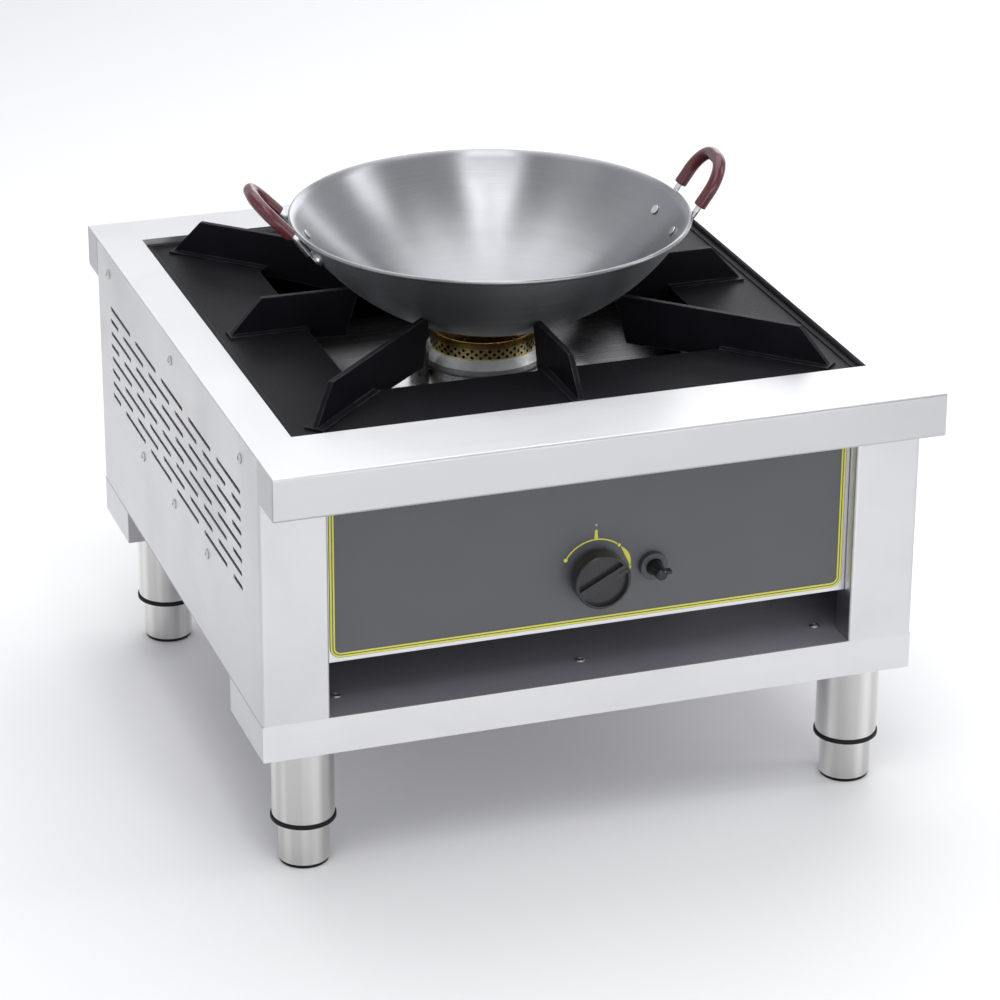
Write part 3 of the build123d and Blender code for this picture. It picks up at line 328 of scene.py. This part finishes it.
weld_distance = 0.000002
flat_angle = math.radians(0.4)
sharp_angle = math.radians(28)


def rounded(node, material, radius=0.0004, segments=2):
    """Stands for a CAD piece with a copy whose sharp edges are rounded."""
    source = nodes[node]
    mesh = source.data.copy()
    shape = bmesh.new()
    shape.from_mesh(mesh)
    bmesh.ops.remove_doubles(shape, verts=shape.verts, dist=weld_distance)
    bmesh.ops.dissolve_limit(shape, angle_limit=flat_angle, verts=shape.verts, edges=shape.edges)
    for face in shape.faces:
        face.smooth = True
    shape.to_mesh(mesh)
    shape.free()
    mesh.materials.clear()
    mesh.materials.append(material)
    piece = linked(bpy.data.objects.new(node + "_finished", mesh))
    bevel = piece.modifiers.new("rounded edges", "BEVEL")
    bevel.width = radius
    bevel.segments = segments
    bevel.limit_method = "ANGLE"
    bevel.angle_limit = sharp_angle
    bevel.use_clamp_overlap = True
    evened = piece.modifiers.new("even shading", "WEIGHTED_NORMAL")
    evened.keep_sharp = True
    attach(piece, source["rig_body"])
    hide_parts(node)
    return piece


def brushed_steel(name, stretch, brushing):
    """Stainless sheet with its grain along one axis."""
    return finish(name, (0.66, 0.66, 0.67), (0.56, 0.565, 0.585), roughness=0.38, spread=0.04,
                  metallic=1.0, stretch=stretch, relief=0.000003, wear=0.25, wear_colour=(0.7, 0.7, 0.71),
                  brushing=brushing)


across_steel = brushed_steel("brushed_steel_across", (6, 900, 900), (1, 0, 0))
along_steel = brushed_steel("brushed_steel_along", (900, 6, 900), (0, 1, 0))
top_steel = brushed_steel("brushed_steel_top", (6, 900, 900), (1, 0, 0))
# Painted shade: the floor sheet is coloured dark for the shade and dark reflections inside the casing.
floor_steel_painted_dark = finish("floor_sheet_painted_dark", (0.33, 0.32, 0.375), (0.25, 0.24, 0.29), roughness=0.36, metallic=0.3,
                     stretch=(5, 300, 300), relief=0.00001, dust=0.1)


def overlaid(material, mask_of, colour):
    """Lays a second colour over a finish by a mask made in its tree."""
    tree = material.node_tree
    shader = tree.nodes["Principled BSDF"]
    tone = shader.inputs["Base Color"].links[0].from_socket
    tree.links.new(mixed(tree, mask_of(tree), tone, colour), shader.inputs["Base Color"])


def upright_painted_shade(tree):
    """White on upright faces, which are painted darker than the top as shade."""
    facing = shader_node(tree, "NewGeometry").outputs["Normal"]
    level = shader_node(tree, "SeparateXYZ", {0: facing}).outputs["Z"]
    return ranged(tree, level, 0.8, 0.3, 0, 1)


# Painted shade: the worktop's upright faces are coloured darker than its top.
painted_shade_steel = (0.52, 0.522, 0.53, 1)
overlaid(top_steel, upright_painted_shade, painted_shade_steel)
rounded("worktop", top_steel, radius=0.0005)
rounded("well_frame", across_steel)
rounded("front_cross_member", across_steel)
rounded("rear_cross_member", across_steel)
rounded("left_side_panel", along_steel)
rounded("right_side_panel", along_steel)
rounded("rear_panel", across_steel)
rounded("floor_plate", floor_steel_painted_dark)


# ================================================================ screws and bolts
# Pan-head machine screws with a cross recess: zinc-plated steel, six in each side and
# six through the floor sheet into the cross members.
def revolved(points, sides):
    """An outline of (radius, height) points turned round the Z axis, closed where it meets it."""
    shape = bmesh.new()
    rings = []
    for radius, height in points:
        if radius == 0:
            rings.append([shape.verts.new((0, 0, height))])
            continue
        ring = []
        for i in range(sides):
            angle = 2 * math.pi * i / sides
            ring.append(shape.verts.new((radius * math.cos(angle), radius * math.sin(angle), height)))
        rings.append(ring)
    for lower, upper in zip(rings, rings[1:]):
        for i in range(sides):
            j = (i + 1) % sides
            quad = [lower[i % len(lower)], lower[j % len(lower)],
                    upper[j % len(upper)], upper[i % len(upper)]]
            corners = []
            for vert in quad:
                if vert not in corners:
                    corners.append(vert)
            if len(corners) > 2:
                shape.faces.new(corners)
    bmesh.ops.recalc_face_normals(shape, faces=shape.faces)
    for face in shape.faces:
        face.smooth = True
    return shape


def meshed(name, shape, material):
    """A scene object from a finished bmesh."""
    mesh = bpy.data.meshes.new(name)
    shape.to_mesh(mesh)
    shape.free()
    mesh.materials.append(material)
    return linked(bpy.data.objects.new(name, mesh))


head_radius = 0.0042
head_height = 0.0018
head_edge = head_height * 0.35
shank_radius = head_radius * 0.46
shank_length = 0.005
dome_share = 0.92
recess_length = head_radius * 1.15
recess_width = head_radius * 0.26
recess_depth = head_height * 0.9
recess_middle = head_height * 0.95


def screw_head():
    """A domed screw head on its shank."""
    steps = 6
    profile = [(0, -shank_length), (shank_radius, -shank_length), (shank_radius, 0),
               (head_radius, 0), (head_radius, head_edge)]
    for i in range(1, steps):
        angle = math.radians(90 * i / steps)
        profile.append((head_radius * math.cos(angle * dome_share),
                        head_edge + (head_height - head_edge) * math.sin(angle)))
    return revolved(profile + [(0, head_height)], sides=24)


def cross_recess():
    """The cross-shaped cutter for a screw head."""
    shape = bmesh.new()
    arm = Matrix.Diagonal((recess_length, recess_width, recess_depth, 1))
    for angle in (0, 90):
        turned = Matrix.Rotation(math.radians(angle), 4, "Z")
        place = turned @ Matrix.Translation((0, 0, recess_middle))
        bmesh.ops.create_cube(shape, size=1, matrix=place @ arm)
    return shape


zinc_steel = finish("zinc_plate", (0.6, 0.6, 0.58), (0.48, 0.48, 0.46), roughness=0.3, spread=0.08,
                    metallic=1.0, stretch=(500, 500, 500), relief=0.00001, wear=0.5,
                    wear_colour=(0.8, 0.8, 0.8))


def cut_head(name):
    """One screw mesh with its recess cut out."""
    head = meshed(name, screw_head(), zinc_steel)
    cutter = meshed(name + "_cutter", cross_recess(), zinc_steel)
    cut = head.modifiers.new("recess", "BOOLEAN")
    cut.object = cutter
    cut.operation = "DIFFERENCE"
    cut.use_self = True
    graph = bpy.context.evaluated_depsgraph_get()
    mesh = bpy.data.meshes.new_from_object(head.evaluated_get(graph))
    for thing in (head, cutter):
        bpy.data.objects.remove(thing)
    return mesh


tightening_step = math.radians(37)


def screws(name, node, places, outward):
    """Screws joined into one piece, each tightened to an angle of its own."""
    single = cut_head("screw_" + name)
    shape = bmesh.new()
    for index, place in enumerate(places):
        spin = Matrix.Rotation(index * tightening_step, 4, "Z")
        tilt = Vector(outward(place)).to_track_quat("Z", "Y").to_matrix().to_4x4()
        copy = single.copy()
        copy.transform(Matrix.Translation(place) @ tilt @ spin)
        shape.from_mesh(copy)
        bpy.data.meshes.remove(copy)
    piece = meshed(name, shape, zinc_steel)
    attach(piece, "range")
    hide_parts(node)


casing_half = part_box("worktop")[1][0]
side_screw_middle = 0.010
upper_screw_pitch, upper_screw_z = 0.216, 0.344
lower_screw_pitch, lower_screw_z = 0.106, 0.2165
side_places = []
for side in (-1, 1):
    x = side * casing_half
    for i in (-1, 0, 1):
        side_places.append(Vector((x, side_screw_middle + i * upper_screw_pitch, upper_screw_z)))
        side_places.append(Vector((x, side_screw_middle + i * lower_screw_pitch, lower_screw_z)))
screws("side_screws", "casing_screws", side_places, lambda place: (place.x, 0, 0))
floor_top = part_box("floor_plate")[1][2]
floor_screw_pitch = 0.205
front_screw_y = -0.2198
rear_screw_y = 0.228
floor_places = [Vector((i * floor_screw_pitch, y, floor_top))
                for i in (-1, 0, 1) for y in (front_screw_y, rear_screw_y)]
screws("floor_screws", "floor_bolts", floor_places, lambda place: (0, 0, 1))


# ================================================================ legs and feet
# Satin stainless tubes 50.8 mm across, each with a black bush pressed into its end. A
# deep-drawn steel foot slides in the bush to level the range, on a black rubber pad.
leg_steel = finish("leg_tube_steel", (0.8, 0.797, 0.783), (0.5, 0.497, 0.485), roughness=0.14,
                   spread=0.03, metallic=1.0, stretch=(900, 900, 5), relief=0.000004, smears=0.1,
                   wear=0.2, wear_colour=(0.8, 0.8, 0.8), bands=(55, 55, 0.6))
black_rubber = finish("black_rubber", (0.008, 0.008, 0.009), (0.016, 0.016, 0.016), roughness=0.5,
                      spread=0.08, stretch=(700, 700, 700), relief=0.00003, wear=0.15,
                      wear_colour=(0.04, 0.04, 0.04), specular=0.15)
rounded("leg_tubes", leg_steel, radius=0.0005)
rounded("leg_collars", black_rubber, radius=0.0007, segments=3)
for corner in ("front_left", "front_right", "rear_left", "rear_right"):
    rounded("foot_" + corner, leg_steel, radius=0.0008, segments=3)
    rounded("foot_pad_" + corner, black_rubber, radius=0.0006, segments=3)


# ================================================================ control panel
# A recessed steel panel carries a thin overlay printed dark grey, with a double yellow
# line round its edge and a yellow dial for the gas tap.
overlay_grey = finish("overlay_grey", (0.078, 0.082, 0.091), (0.086, 0.09, 0.099), roughness=0.36,
                      spread=0.03, stretch=(1200, 1200, 1200), relief=0.000006, smears=0.5, smear_size=14,
                      wear=0.1)
print_yellow = finish("print_yellow", (0.64, 0.62, 0.06), (0.54, 0.52, 0.05), roughness=0.45, spread=0.04,
                      stretch=(900, 900, 900), relief=0.000004, wear=0.0)
print_grey = finish("print_grey", (0.3, 0.31, 0.3), (0.25, 0.26, 0.26), roughness=0.45, spread=0.04,
                    stretch=(900, 900, 900), relief=0.000004, wear=0.0)
rounded("control_panel", across_steel)
rounded("fascia", overlay_grey, radius=0.0002)

fascia_low, fascia_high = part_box("fascia")
print_depth = 0.00006
print_face = fascia_low[1] - print_depth


def printed(name, outlines, material):
    """Flat printed marks on the overlay: closed outlines of (x, z) points, filled and thickened."""
    shape = bmesh.new()
    for outline in outlines:
        front = [shape.verts.new((x, print_face, z)) for x, z in outline]
        back = [shape.verts.new((x, fascia_low[1], z)) for x, z in outline]
        shape.faces.new(front)
        shape.faces.new(back[::-1])
        for i in range(len(front)):
            j = (i + 1) % len(front)
            shape.faces.new((front[j], front[i], back[i], back[j]))
    bmesh.ops.recalc_face_normals(shape, faces=shape.faces)
    piece = meshed(name, shape, material)
    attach(piece, "range")
    return piece


def edge_path(inset, radius):
    """Down the left edge, along the bottom and up the right edge, round at the corners."""
    steps = 8
    left = fascia_low[0] + inset
    right = fascia_high[0] - inset
    bottom = fascia_low[2] + inset
    top = fascia_high[2]
    path = [(left, top)]
    for start, middle in ((180, left + radius), (270, right - radius)):
        for i in range(steps + 1):
            angle = math.radians(start + 90 * i / steps)
            path.append((middle + radius * math.cos(angle), bottom + radius + radius * math.sin(angle)))
    path.append((right, top))
    return path


corner_radius = 0.009
line_insets = ((0.0004, 0.0019), (0.0028, 0.0041))
border = []
for outer, inner in line_insets:
    outside = edge_path(outer, corner_radius - outer)
    inside = edge_path(inner, corner_radius - inner)
    for i in range(len(outside) - 1):
        border.append([outside[i], outside[i + 1], inside[i + 1], inside[i]])
printed("border_lines", border, print_yellow)

dial_x = 0.0032
dial_z = 0.2237
dial_radius = 0.0293


def dial_point(angle, radius):
    """A point on the dial, by angle from its right-hand side."""
    return (dial_x + radius * math.cos(math.radians(angle)), dial_z + radius * math.sin(math.radians(angle)))


def dial_band(start, end, half_width, steps):
    """Quads along the dial's arc, with a half width for each share of the way."""
    rungs = []
    for i in range(steps + 1):
        angle = start + (end - start) * i / steps
        reach = half_width(i / steps)
        rungs.append((dial_point(angle, dial_radius - reach), dial_point(angle, dial_radius + reach)))
    return [[here[0], there[0], there[1], here[1]] for here, there in zip(rungs, rungs[1:])]


def arc_line(share):
    """Half the width of the plain arc, the same all the way."""
    return 0.00055


def flame_start(share):
    """Half the width of the short wedge that leads to the flame scale."""
    return 0.0004 + 0.0006 * share


def flame_swell(share):
    """Half the width of the flame scale, which swells and tapers."""
    return 0.0003 + 0.0015 * math.sin(math.pi * share)


def dot(angle, radius, size):
    """A round printed dot."""
    x, z = dial_point(angle, radius)
    turns = [2 * math.pi * i / 16 for i in range(16)]
    return [(x + size * math.cos(turn), z + size * math.sin(turn)) for turn in turns]


arc = dial_band(52.5, 146.6, arc_line, steps=40)
flame_scale = dial_band(6, 43.5, flame_swell, steps=18)
flame_scale += dial_band(0, 5, flame_start, steps=3)
tick_foot = dial_z + 0.03
tick_foot_half = 0.0015
tick_tip = dial_z + 0.0375
tick_tip_half = 0.0009
tick = [(dial_x - tick_foot_half, tick_foot), (dial_x + tick_foot_half, tick_foot),
        (dial_x + tick_tip_half, tick_tip), (dial_x - tick_tip_half, tick_tip)]
end_dot = dot(150, dial_radius, size=0.0017)
flame_dot = dot(48, dial_radius, size=0.0014)
off_dot = dot(90, dial_radius + 0.0125, size=0.0011)
printed("dial_arc", arc, print_yellow)
printed("dial_flame_scale", flame_scale, print_yellow)
printed("dial_marks", [tick, end_dot, flame_dot], print_yellow)
printed("dial_off_dot", [off_dot], print_grey)


# ================================================================ gas tap and knob
# A brass tap behind the panel with a turning plug. The moulded black knob pushes onto
# its stem, and has a grip bar between two scoops and a line that points at the dial.
black_plastic = finish("black_plastic", (0.016, 0.016, 0.018), (0.028, 0.028, 0.031), roughness=0.3,
                       spread=0.05, stretch=(1500, 1500, 1500), relief=0.00001, wear=0.25,
                       wear_colour=(0.07, 0.07, 0.075))
machined_brass = finish("machined_brass", (0.72, 0.52, 0.22), (0.6, 0.42, 0.17), roughness=0.28,
                        spread=0.07, metallic=1.0, stretch=(600, 60, 600), relief=0.00001)
for name in ("tap_body", "tap_plug", "tap_stem", "injector", "injector_holder"):
    rounded(name, machined_brass, radius=0.0003)
rounded("knob", black_plastic, radius=0.0006, segments=3)


# ================================================================ igniter
# A push-button piezo igniter: a satin collar and a gloss black button in front of the
# panel, and the generator's black case behind it.
gloss_black = finish("gloss_black", (0.006, 0.007, 0.008), (0.012, 0.012, 0.014), roughness=0.1,
                     spread=0.03, stretch=(1500, 1500, 1500), relief=0.000005, wear=0.25,
                     wear_colour=(0.06, 0.06, 0.06))
collar_plastic = finish("collar_plastic", (0.05, 0.053, 0.058), (0.065, 0.068, 0.074), roughness=0.3,
                        spread=0.03, stretch=(1500, 1500, 1500), relief=0.000005, wear=0.1)
rounded("igniter_collar", collar_plastic, radius=0.0008, segments=3)
rounded("igniter_button", gloss_black, radius=0.0006, segments=3)
rounded("igniter_body", black_plastic, radius=0.0005)


# ================================================================ burner
# A sand-cast aluminium body and mixing tube on a plain steel bar, with a turned and
# drilled brass crown and a brass cap that heat has browned. Painted shade darkens the crown's plain band
# under the wok and fills its gas ports, with soot round the ports.
cast_aluminium = finish("cast_aluminium", (0.5, 0.51, 0.5), (0.4, 0.41, 0.41), roughness=0.46, spread=0.1,
                        metallic=1.0, stretch=(260, 260, 260), relief=0.00012, smears=0.7, smear_size=30,
                        wear_colour=(0.75, 0.75, 0.75))
for name in ("burner_body", "mixing_tube"):
    rounded(name, cast_aluminium, radius=0.0012, segments=3)
support_steel = finish("support_steel", (0.5, 0.5, 0.49), (0.36, 0.355, 0.34), roughness=0.34,
                       spread=0.08, metallic=1.0, stretch=(500, 500, 500), relief=0.00001, smears=0.6,
                       smear_size=24)
rounded("air_shutter", support_steel, radius=0.0003)
rounded("burner_support", support_steel)
rounded("injector_bracket", support_steel)
crown_brass = finish("crown_brass", (0.9, 0.72, 0.36), (0.66, 0.48, 0.2), roughness=0.28, spread=0.04,
                     metallic=1.0, stretch=(90, 90, 900), relief=0.000003, smears=0.3, smear_size=26,
                     wear=0.3, wear_colour=(0.95, 0.78, 0.42))
cap_brass = finish("cap_brass", (0.5, 0.33, 0.12), (0.36, 0.22, 0.07), roughness=0.28, spread=0.04,
                   metallic=1.0, stretch=(90, 90, 900), relief=0.000003, smears=0.5, smear_size=26,
                   wear=0.5, wear_colour=(0.8, 0.56, 0.22))
crown_low, crown_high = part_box("burner_crown")
burner_axis = ((crown_low[0] + crown_high[0]) / 2, (crown_low[1] + crown_high[1]) / 2, 0)
ports_per_row = 38
port_row_rises = (0.0019, 0.0048, 0.0077)
first_port_shift = 0.25
port_radius = 0.0012
dark_ring_radius = 0.0016
shade_band_from = crown_low[2] + 0.0088
shade_band_to = crown_low[2] + 0.0104


def port_shade_and_soot(tree):
    """White in the gas ports as painted shade, and in a sooty ring round them; every second row is set half
    a pitch on.
    """
    place = shader_node(tree, "TexCoord").outputs["Object"]
    centred = shader_node(tree, "VectorMath", {0: place, 1: burner_axis}, operation="SUBTRACT")
    parts = shader_node(tree, "SeparateXYZ", {0: centred.outputs[0]}).outputs
    angle = shader_node(tree, "Math", {0: parts["Y"], 1: parts["X"]}, operation="ARCTAN2").outputs[0]
    turns = scaled(tree, angle, ports_per_row / (2 * math.pi))
    port_pitch = math.pi * (crown_high[0] - crown_low[0]) / ports_per_row
    nearest = None
    for row, rise in enumerate(port_row_rises):
        shift = first_port_shift + 0.5 * (row % 2)
        moved = shader_node(tree, "Math", {0: turns, 1: shift}, operation="SUBTRACT").outputs[0]
        whole = shader_node(tree, "Math", {0: moved}, operation="ROUND").outputs[0]
        aside = shader_node(tree, "Math", {0: moved, 1: whole}, operation="SUBTRACT").outputs[0]
        above = shader_node(tree, "Math", {0: parts["Z"], 1: crown_low[2] + rise},
                            operation="SUBTRACT").outputs[0]
        offset = shader_node(tree, "CombineXYZ", {"X": scaled(tree, aside, port_pitch), "Y": above})
        reach = shader_node(tree, "VectorMath", {0: offset.outputs[0]}, operation="LENGTH").outputs["Value"]
        if nearest:
            reach = shader_node(tree, "Math", {0: nearest, 1: reach}, operation="MINIMUM").outputs[0]
        nearest = reach
    return ranged(tree, nearest, port_radius, dark_ring_radius, 1, 0)


def wok_shade_band(tree):
    """White on the plain band above the ports, which is painted dark brown as the shade of the wok."""
    place = shader_node(tree, "TexCoord").outputs["Object"]
    level = shader_node(tree, "SeparateXYZ", {0: place}).outputs["Z"]
    return ranged(tree, level, shade_band_from, shade_band_to, 0, 0.9)


painted_shade_brown = (0.4, 0.25, 0.08, 1)
port_shade_black = (0.012, 0.011, 0.01, 1)
# Painted shade: the crown's band above the ports is coloured dark brown where the wok shades it.
overlaid(crown_brass, wok_shade_band, painted_shade_brown)
# Painted shade: the gas ports are coloured black inside, with a sooty ring round each.
overlaid(crown_brass, port_shade_and_soot, port_shade_black)
clothed("burner_crown", crown_brass)
rounded("burner_cap", cap_brass, radius=0.0005, segments=3)


# ================================================================ pilot group
# On a small plate beside the crown: the pilot burner, the flame probe and the white
# ceramic of the spark electrode.
white_ceramic = finish("white_ceramic", (0.78, 0.76, 0.7), (0.6, 0.55, 0.46), roughness=0.25, spread=0.05,
                       stretch=(400, 400, 400), relief=0.00001, smears=0.6, smear_size=60)
pilot_steel = finish("pilot_steel", (0.14, 0.135, 0.13), (0.07, 0.065, 0.06), roughness=0.4, spread=0.08,
                     metallic=1.0, stretch=(300, 300, 300), relief=0.00002, smears=0.8, smear_size=70)
rounded("pilot_bracket", support_steel, radius=0.0003)
rounded("pilot_burner", pilot_steel, radius=0.0003)
rounded("thermocouple", pilot_steel, radius=0.0005)
rounded("spark_electrode", white_ceramic, radius=0.0004)


# ================================================================ pipes and inlet
# Bent gas pipes from the threaded inlet at the back to the tap, on to the injector and
# to the pilot. The inlet is clamped to the back sheet by a hexagonal nut.
copper_pipe = finish("copper_pipe", (0.72, 0.38, 0.24), (0.5, 0.24, 0.15), roughness=0.26, spread=0.07,
                     metallic=1.0, stretch=(200, 200, 200), relief=0.00001, smears=0.6, smear_size=20)
for name in ("supply_pipe", "main_pipe", "pilot_pipe"):
    clothed(name, copper_pipe)
rounded("inlet_fitting", machined_brass, radius=0.0003)
rounded("inlet_locknut", machined_brass, radius=0.0006)


# ================================================================ spill pan
# A thin stainless pan that hangs in the worktop's well under the grate, folded to four
# slopes round a lipped hole for the burner.
pan_steel = finish("pan_steel", (0.44, 0.44, 0.45), (0.3, 0.3, 0.3), roughness=0.24, spread=0.05,
                   metallic=1.0, stretch=(12, 700, 700), relief=0.000004, smears=0.5, smear_size=16)
unshaded_middle = (burner_axis[0] - 0.01, burner_axis[1] - 0.03, 0)
shade_start = 0.084
shade_full = 0.104
painted_shade_black = (0.02, 0.02, 0.023, 1)


def painted_pan_shade(tree):
    """White away from a point in front of the burner, as painted shade under the fins and the wok, with a
    ragged edge.
    """
    place = shader_node(tree, "TexCoord").outputs["Object"]
    centred = shader_node(tree, "VectorMath", {0: place, 1: unshaded_middle}, operation="SUBTRACT")
    flat = shader_node(tree, "VectorMath", {0: centred.outputs[0], 1: (1, 1, 0)}, operation="MULTIPLY")
    reach = shader_node(tree, "VectorMath", {0: flat.outputs[0]}, operation="LENGTH").outputs["Value"]
    ragged = shader_node(tree, "TexNoise", {"Vector": place, "Scale": 45, "Detail": 4}).outputs["Fac"]
    edge = shader_node(tree, "Math", {0: reach, 1: scaled(tree, ragged, 0.02)}, operation="ADD").outputs[0]
    return ranged(tree, edge, shade_start, shade_full, 0, 0.97)


# Painted shade: the pan is coloured near black away from the burner's front, where the fins and the wok
# shade it.
overlaid(pan_steel, painted_pan_shade, painted_shade_black)
rounded("spill_pan_flange", pan_steel, radius=0.0003)
rounded("spill_pan_walls", pan_steel, radius=0.0002)
rounded("spill_pan_floor", pan_steel, radius=0.0003)


# ================================================================ grate
# A square enamelled plate with a raised border, and eight fins on flanges, four of them
# running out to its corners. The satin black enamel is worn grey along the edges.
black_enamel = finish("black_enamel", (0.005, 0.005, 0.007), (0.01, 0.01, 0.013), roughness=0.44,
                      spread=0.08, stretch=(500, 500, 500), relief=0.00003, smears=0.6, smear_size=12,
                      wear=0.5, wear_colour=(0.11, 0.11, 0.12), dust=0.02, specular=0.07)
rounded("grate_plate", black_enamel, radius=0.0007, segments=3)
rounded("grate_fins", black_enamel, radius=0.0009, segments=3)


# ================================================================ wok
# A spun steel bowl with a small flat under it and a rolled rim. Spinning leaves fine
# rings all over it, so highlights spread into fans that meet at the middle.
wok_middle = Vector((0.001, 0.012, 0))


def spun_steel():
    """Steel with concentric rings in relief, gloss and tone, and painted light that makes the
    downward-facing outside paler.
    """
    material, tree, shader = new_finish("spun_steel")
    place = shader_node(tree, "TexCoord").outputs["Object"]
    centred = shader_node(tree, "VectorMath", {0: place, 1: wok_middle}, operation="SUBTRACT")
    flat = shader_node(tree, "VectorMath", {0: centred.outputs[0], 1: (1, 1, 0)}, operation="MULTIPLY")
    radius = shader_node(tree, "VectorMath", {0: flat.outputs[0]}, operation="LENGTH").outputs["Value"]
    rings = shader_node(tree, "TexNoise", {"W": radius, "Scale": 2600, "Detail": 4, "Roughness": 0.7},
                        noise_dimensions="1D")
    bands = shader_node(tree, "TexNoise", {"W": radius, "Scale": 120, "Detail": 3}, noise_dimensions="1D")
    marks = grouped(tree, handling_marks, {"Size": 22})
    smeared = scaled(tree, marks.outputs["Smears"], 0.35)
    tone = mixed(tree, smeared, (0.33, 0.335, 0.352, 1), (0.27, 0.275, 0.29, 1))
    tone = mixed(tree, scaled(tree, bands.outputs["Fac"], 0.25), tone, (0.25, 0.255, 0.268, 1))
    # Painted light: the bowl's downward-facing outside is coloured paler than its inside.
    facing = shader_node(tree, "SeparateXYZ", {0: shader_node(tree, "NewGeometry").outputs["Normal"]})
    outside = ranged(tree, facing.outputs["Z"], 0.05, -0.2, 0, 1)
    painted_light_outside = mixed(tree, outside, tone, (0.47, 0.48, 0.5, 1))
    tree.links.new(painted_light_outside, shader.inputs["Base Color"])
    tree.links.new(ranged(tree, rings.outputs["Fac"], 0.3, 0.7, 0.26, 0.38), shader.inputs["Roughness"])
    bump = shader_node(tree, "Bump", {"Height": rings.outputs["Fac"], "Strength": 1, "Distance": 0.000012})
    tree.links.new(bump.outputs[0], shader.inputs["Normal"])
    around = shader_node(tree, "Tangent", direction_type="RADIAL", axis="Z")
    tree.links.new(around.outputs[0], shader.inputs["Tangent"])
    shader.inputs["Metallic"].default_value = 1
    shader.inputs["Anisotropic"].default_value = 0.85
    shader.inputs["Anisotropic Rotation"].default_value = 0.25
    return material


wok_steel = spun_steel()
rim_radius = 0.1645
rim_z = 0.440
bowl_depth = 0.0955
bowl_wall = 0.0015
flat_z = 0.3479
outer_rim_drop = 0.0014
inner_rim_drop = 0.0004
bead_radius = 0.0017
bead_middle = rim_radius + 0.0013
bowl_radius = (rim_radius ** 2 + bowl_depth ** 2) / (2 * bowl_depth)
bowl_centre_z = rim_z - bowl_depth + bowl_radius


def bowl_arc(radius, low_z, high_z, steps):
    """Points up the side of a ball centred over the bowl, from one height to another."""
    start = math.acos((bowl_centre_z - low_z) / radius)
    end = math.acos((bowl_centre_z - high_z) / radius)
    points = []
    for i in range(steps + 1):
        angle = start + (end - start) * i / steps
        points.append((radius * math.sin(angle), bowl_centre_z - radius * math.cos(angle)))
    return points


def bowl_profile():
    """Outer face from the flat up, round the rolled rim, and down the inner face."""
    outer = bowl_arc(bowl_radius, flat_z, rim_z - outer_rim_drop, steps=36)
    inner = bowl_arc(bowl_radius - bowl_wall, flat_z + bowl_wall, rim_z - inner_rim_drop, steps=36)
    bead = []
    for degrees in range(-120, 180, 30):
        angle = math.radians(degrees)
        bead.append((bead_middle + bead_radius * math.cos(angle), rim_z + bead_radius * math.sin(angle)))
    return [(0, flat_z)] + outer + bead + inner[::-1] + [(0, flat_z + bowl_wall)]


bowl = meshed("wok_bowl_spun", revolved(bowl_profile(), sides=160), wok_steel)
bowl.data.transform(Matrix.Translation(wok_middle))
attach(bowl, "wok")
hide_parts("wok_bowl")


# ================================================================ wok handles
# Bent steel wire with flattened eyes, each riveted twice through the bowl, and a maroon
# plastic sleeve over the loop.
maroon_plastic = finish("maroon_plastic", (0.085, 0.016, 0.023), (0.12, 0.025, 0.034), roughness=0.24,
                        spread=0.04, stretch=(700, 700, 700), relief=0.00001, wear=0.1)
handle_steel = finish("handle_steel", (0.66, 0.66, 0.66), (0.5, 0.5, 0.5), roughness=0.3, metallic=1.0,
                      stretch=(400, 400, 400), relief=0.00001)
for side in ("left", "right"):
    rounded("wok_handle_" + side, handle_steel, radius=0.0003)
    rounded("wok_grip_" + side, maroon_plastic, radius=0.0012, segments=3)
rounded("wok_rivets", handle_steel, radius=0.0005, segments=3)
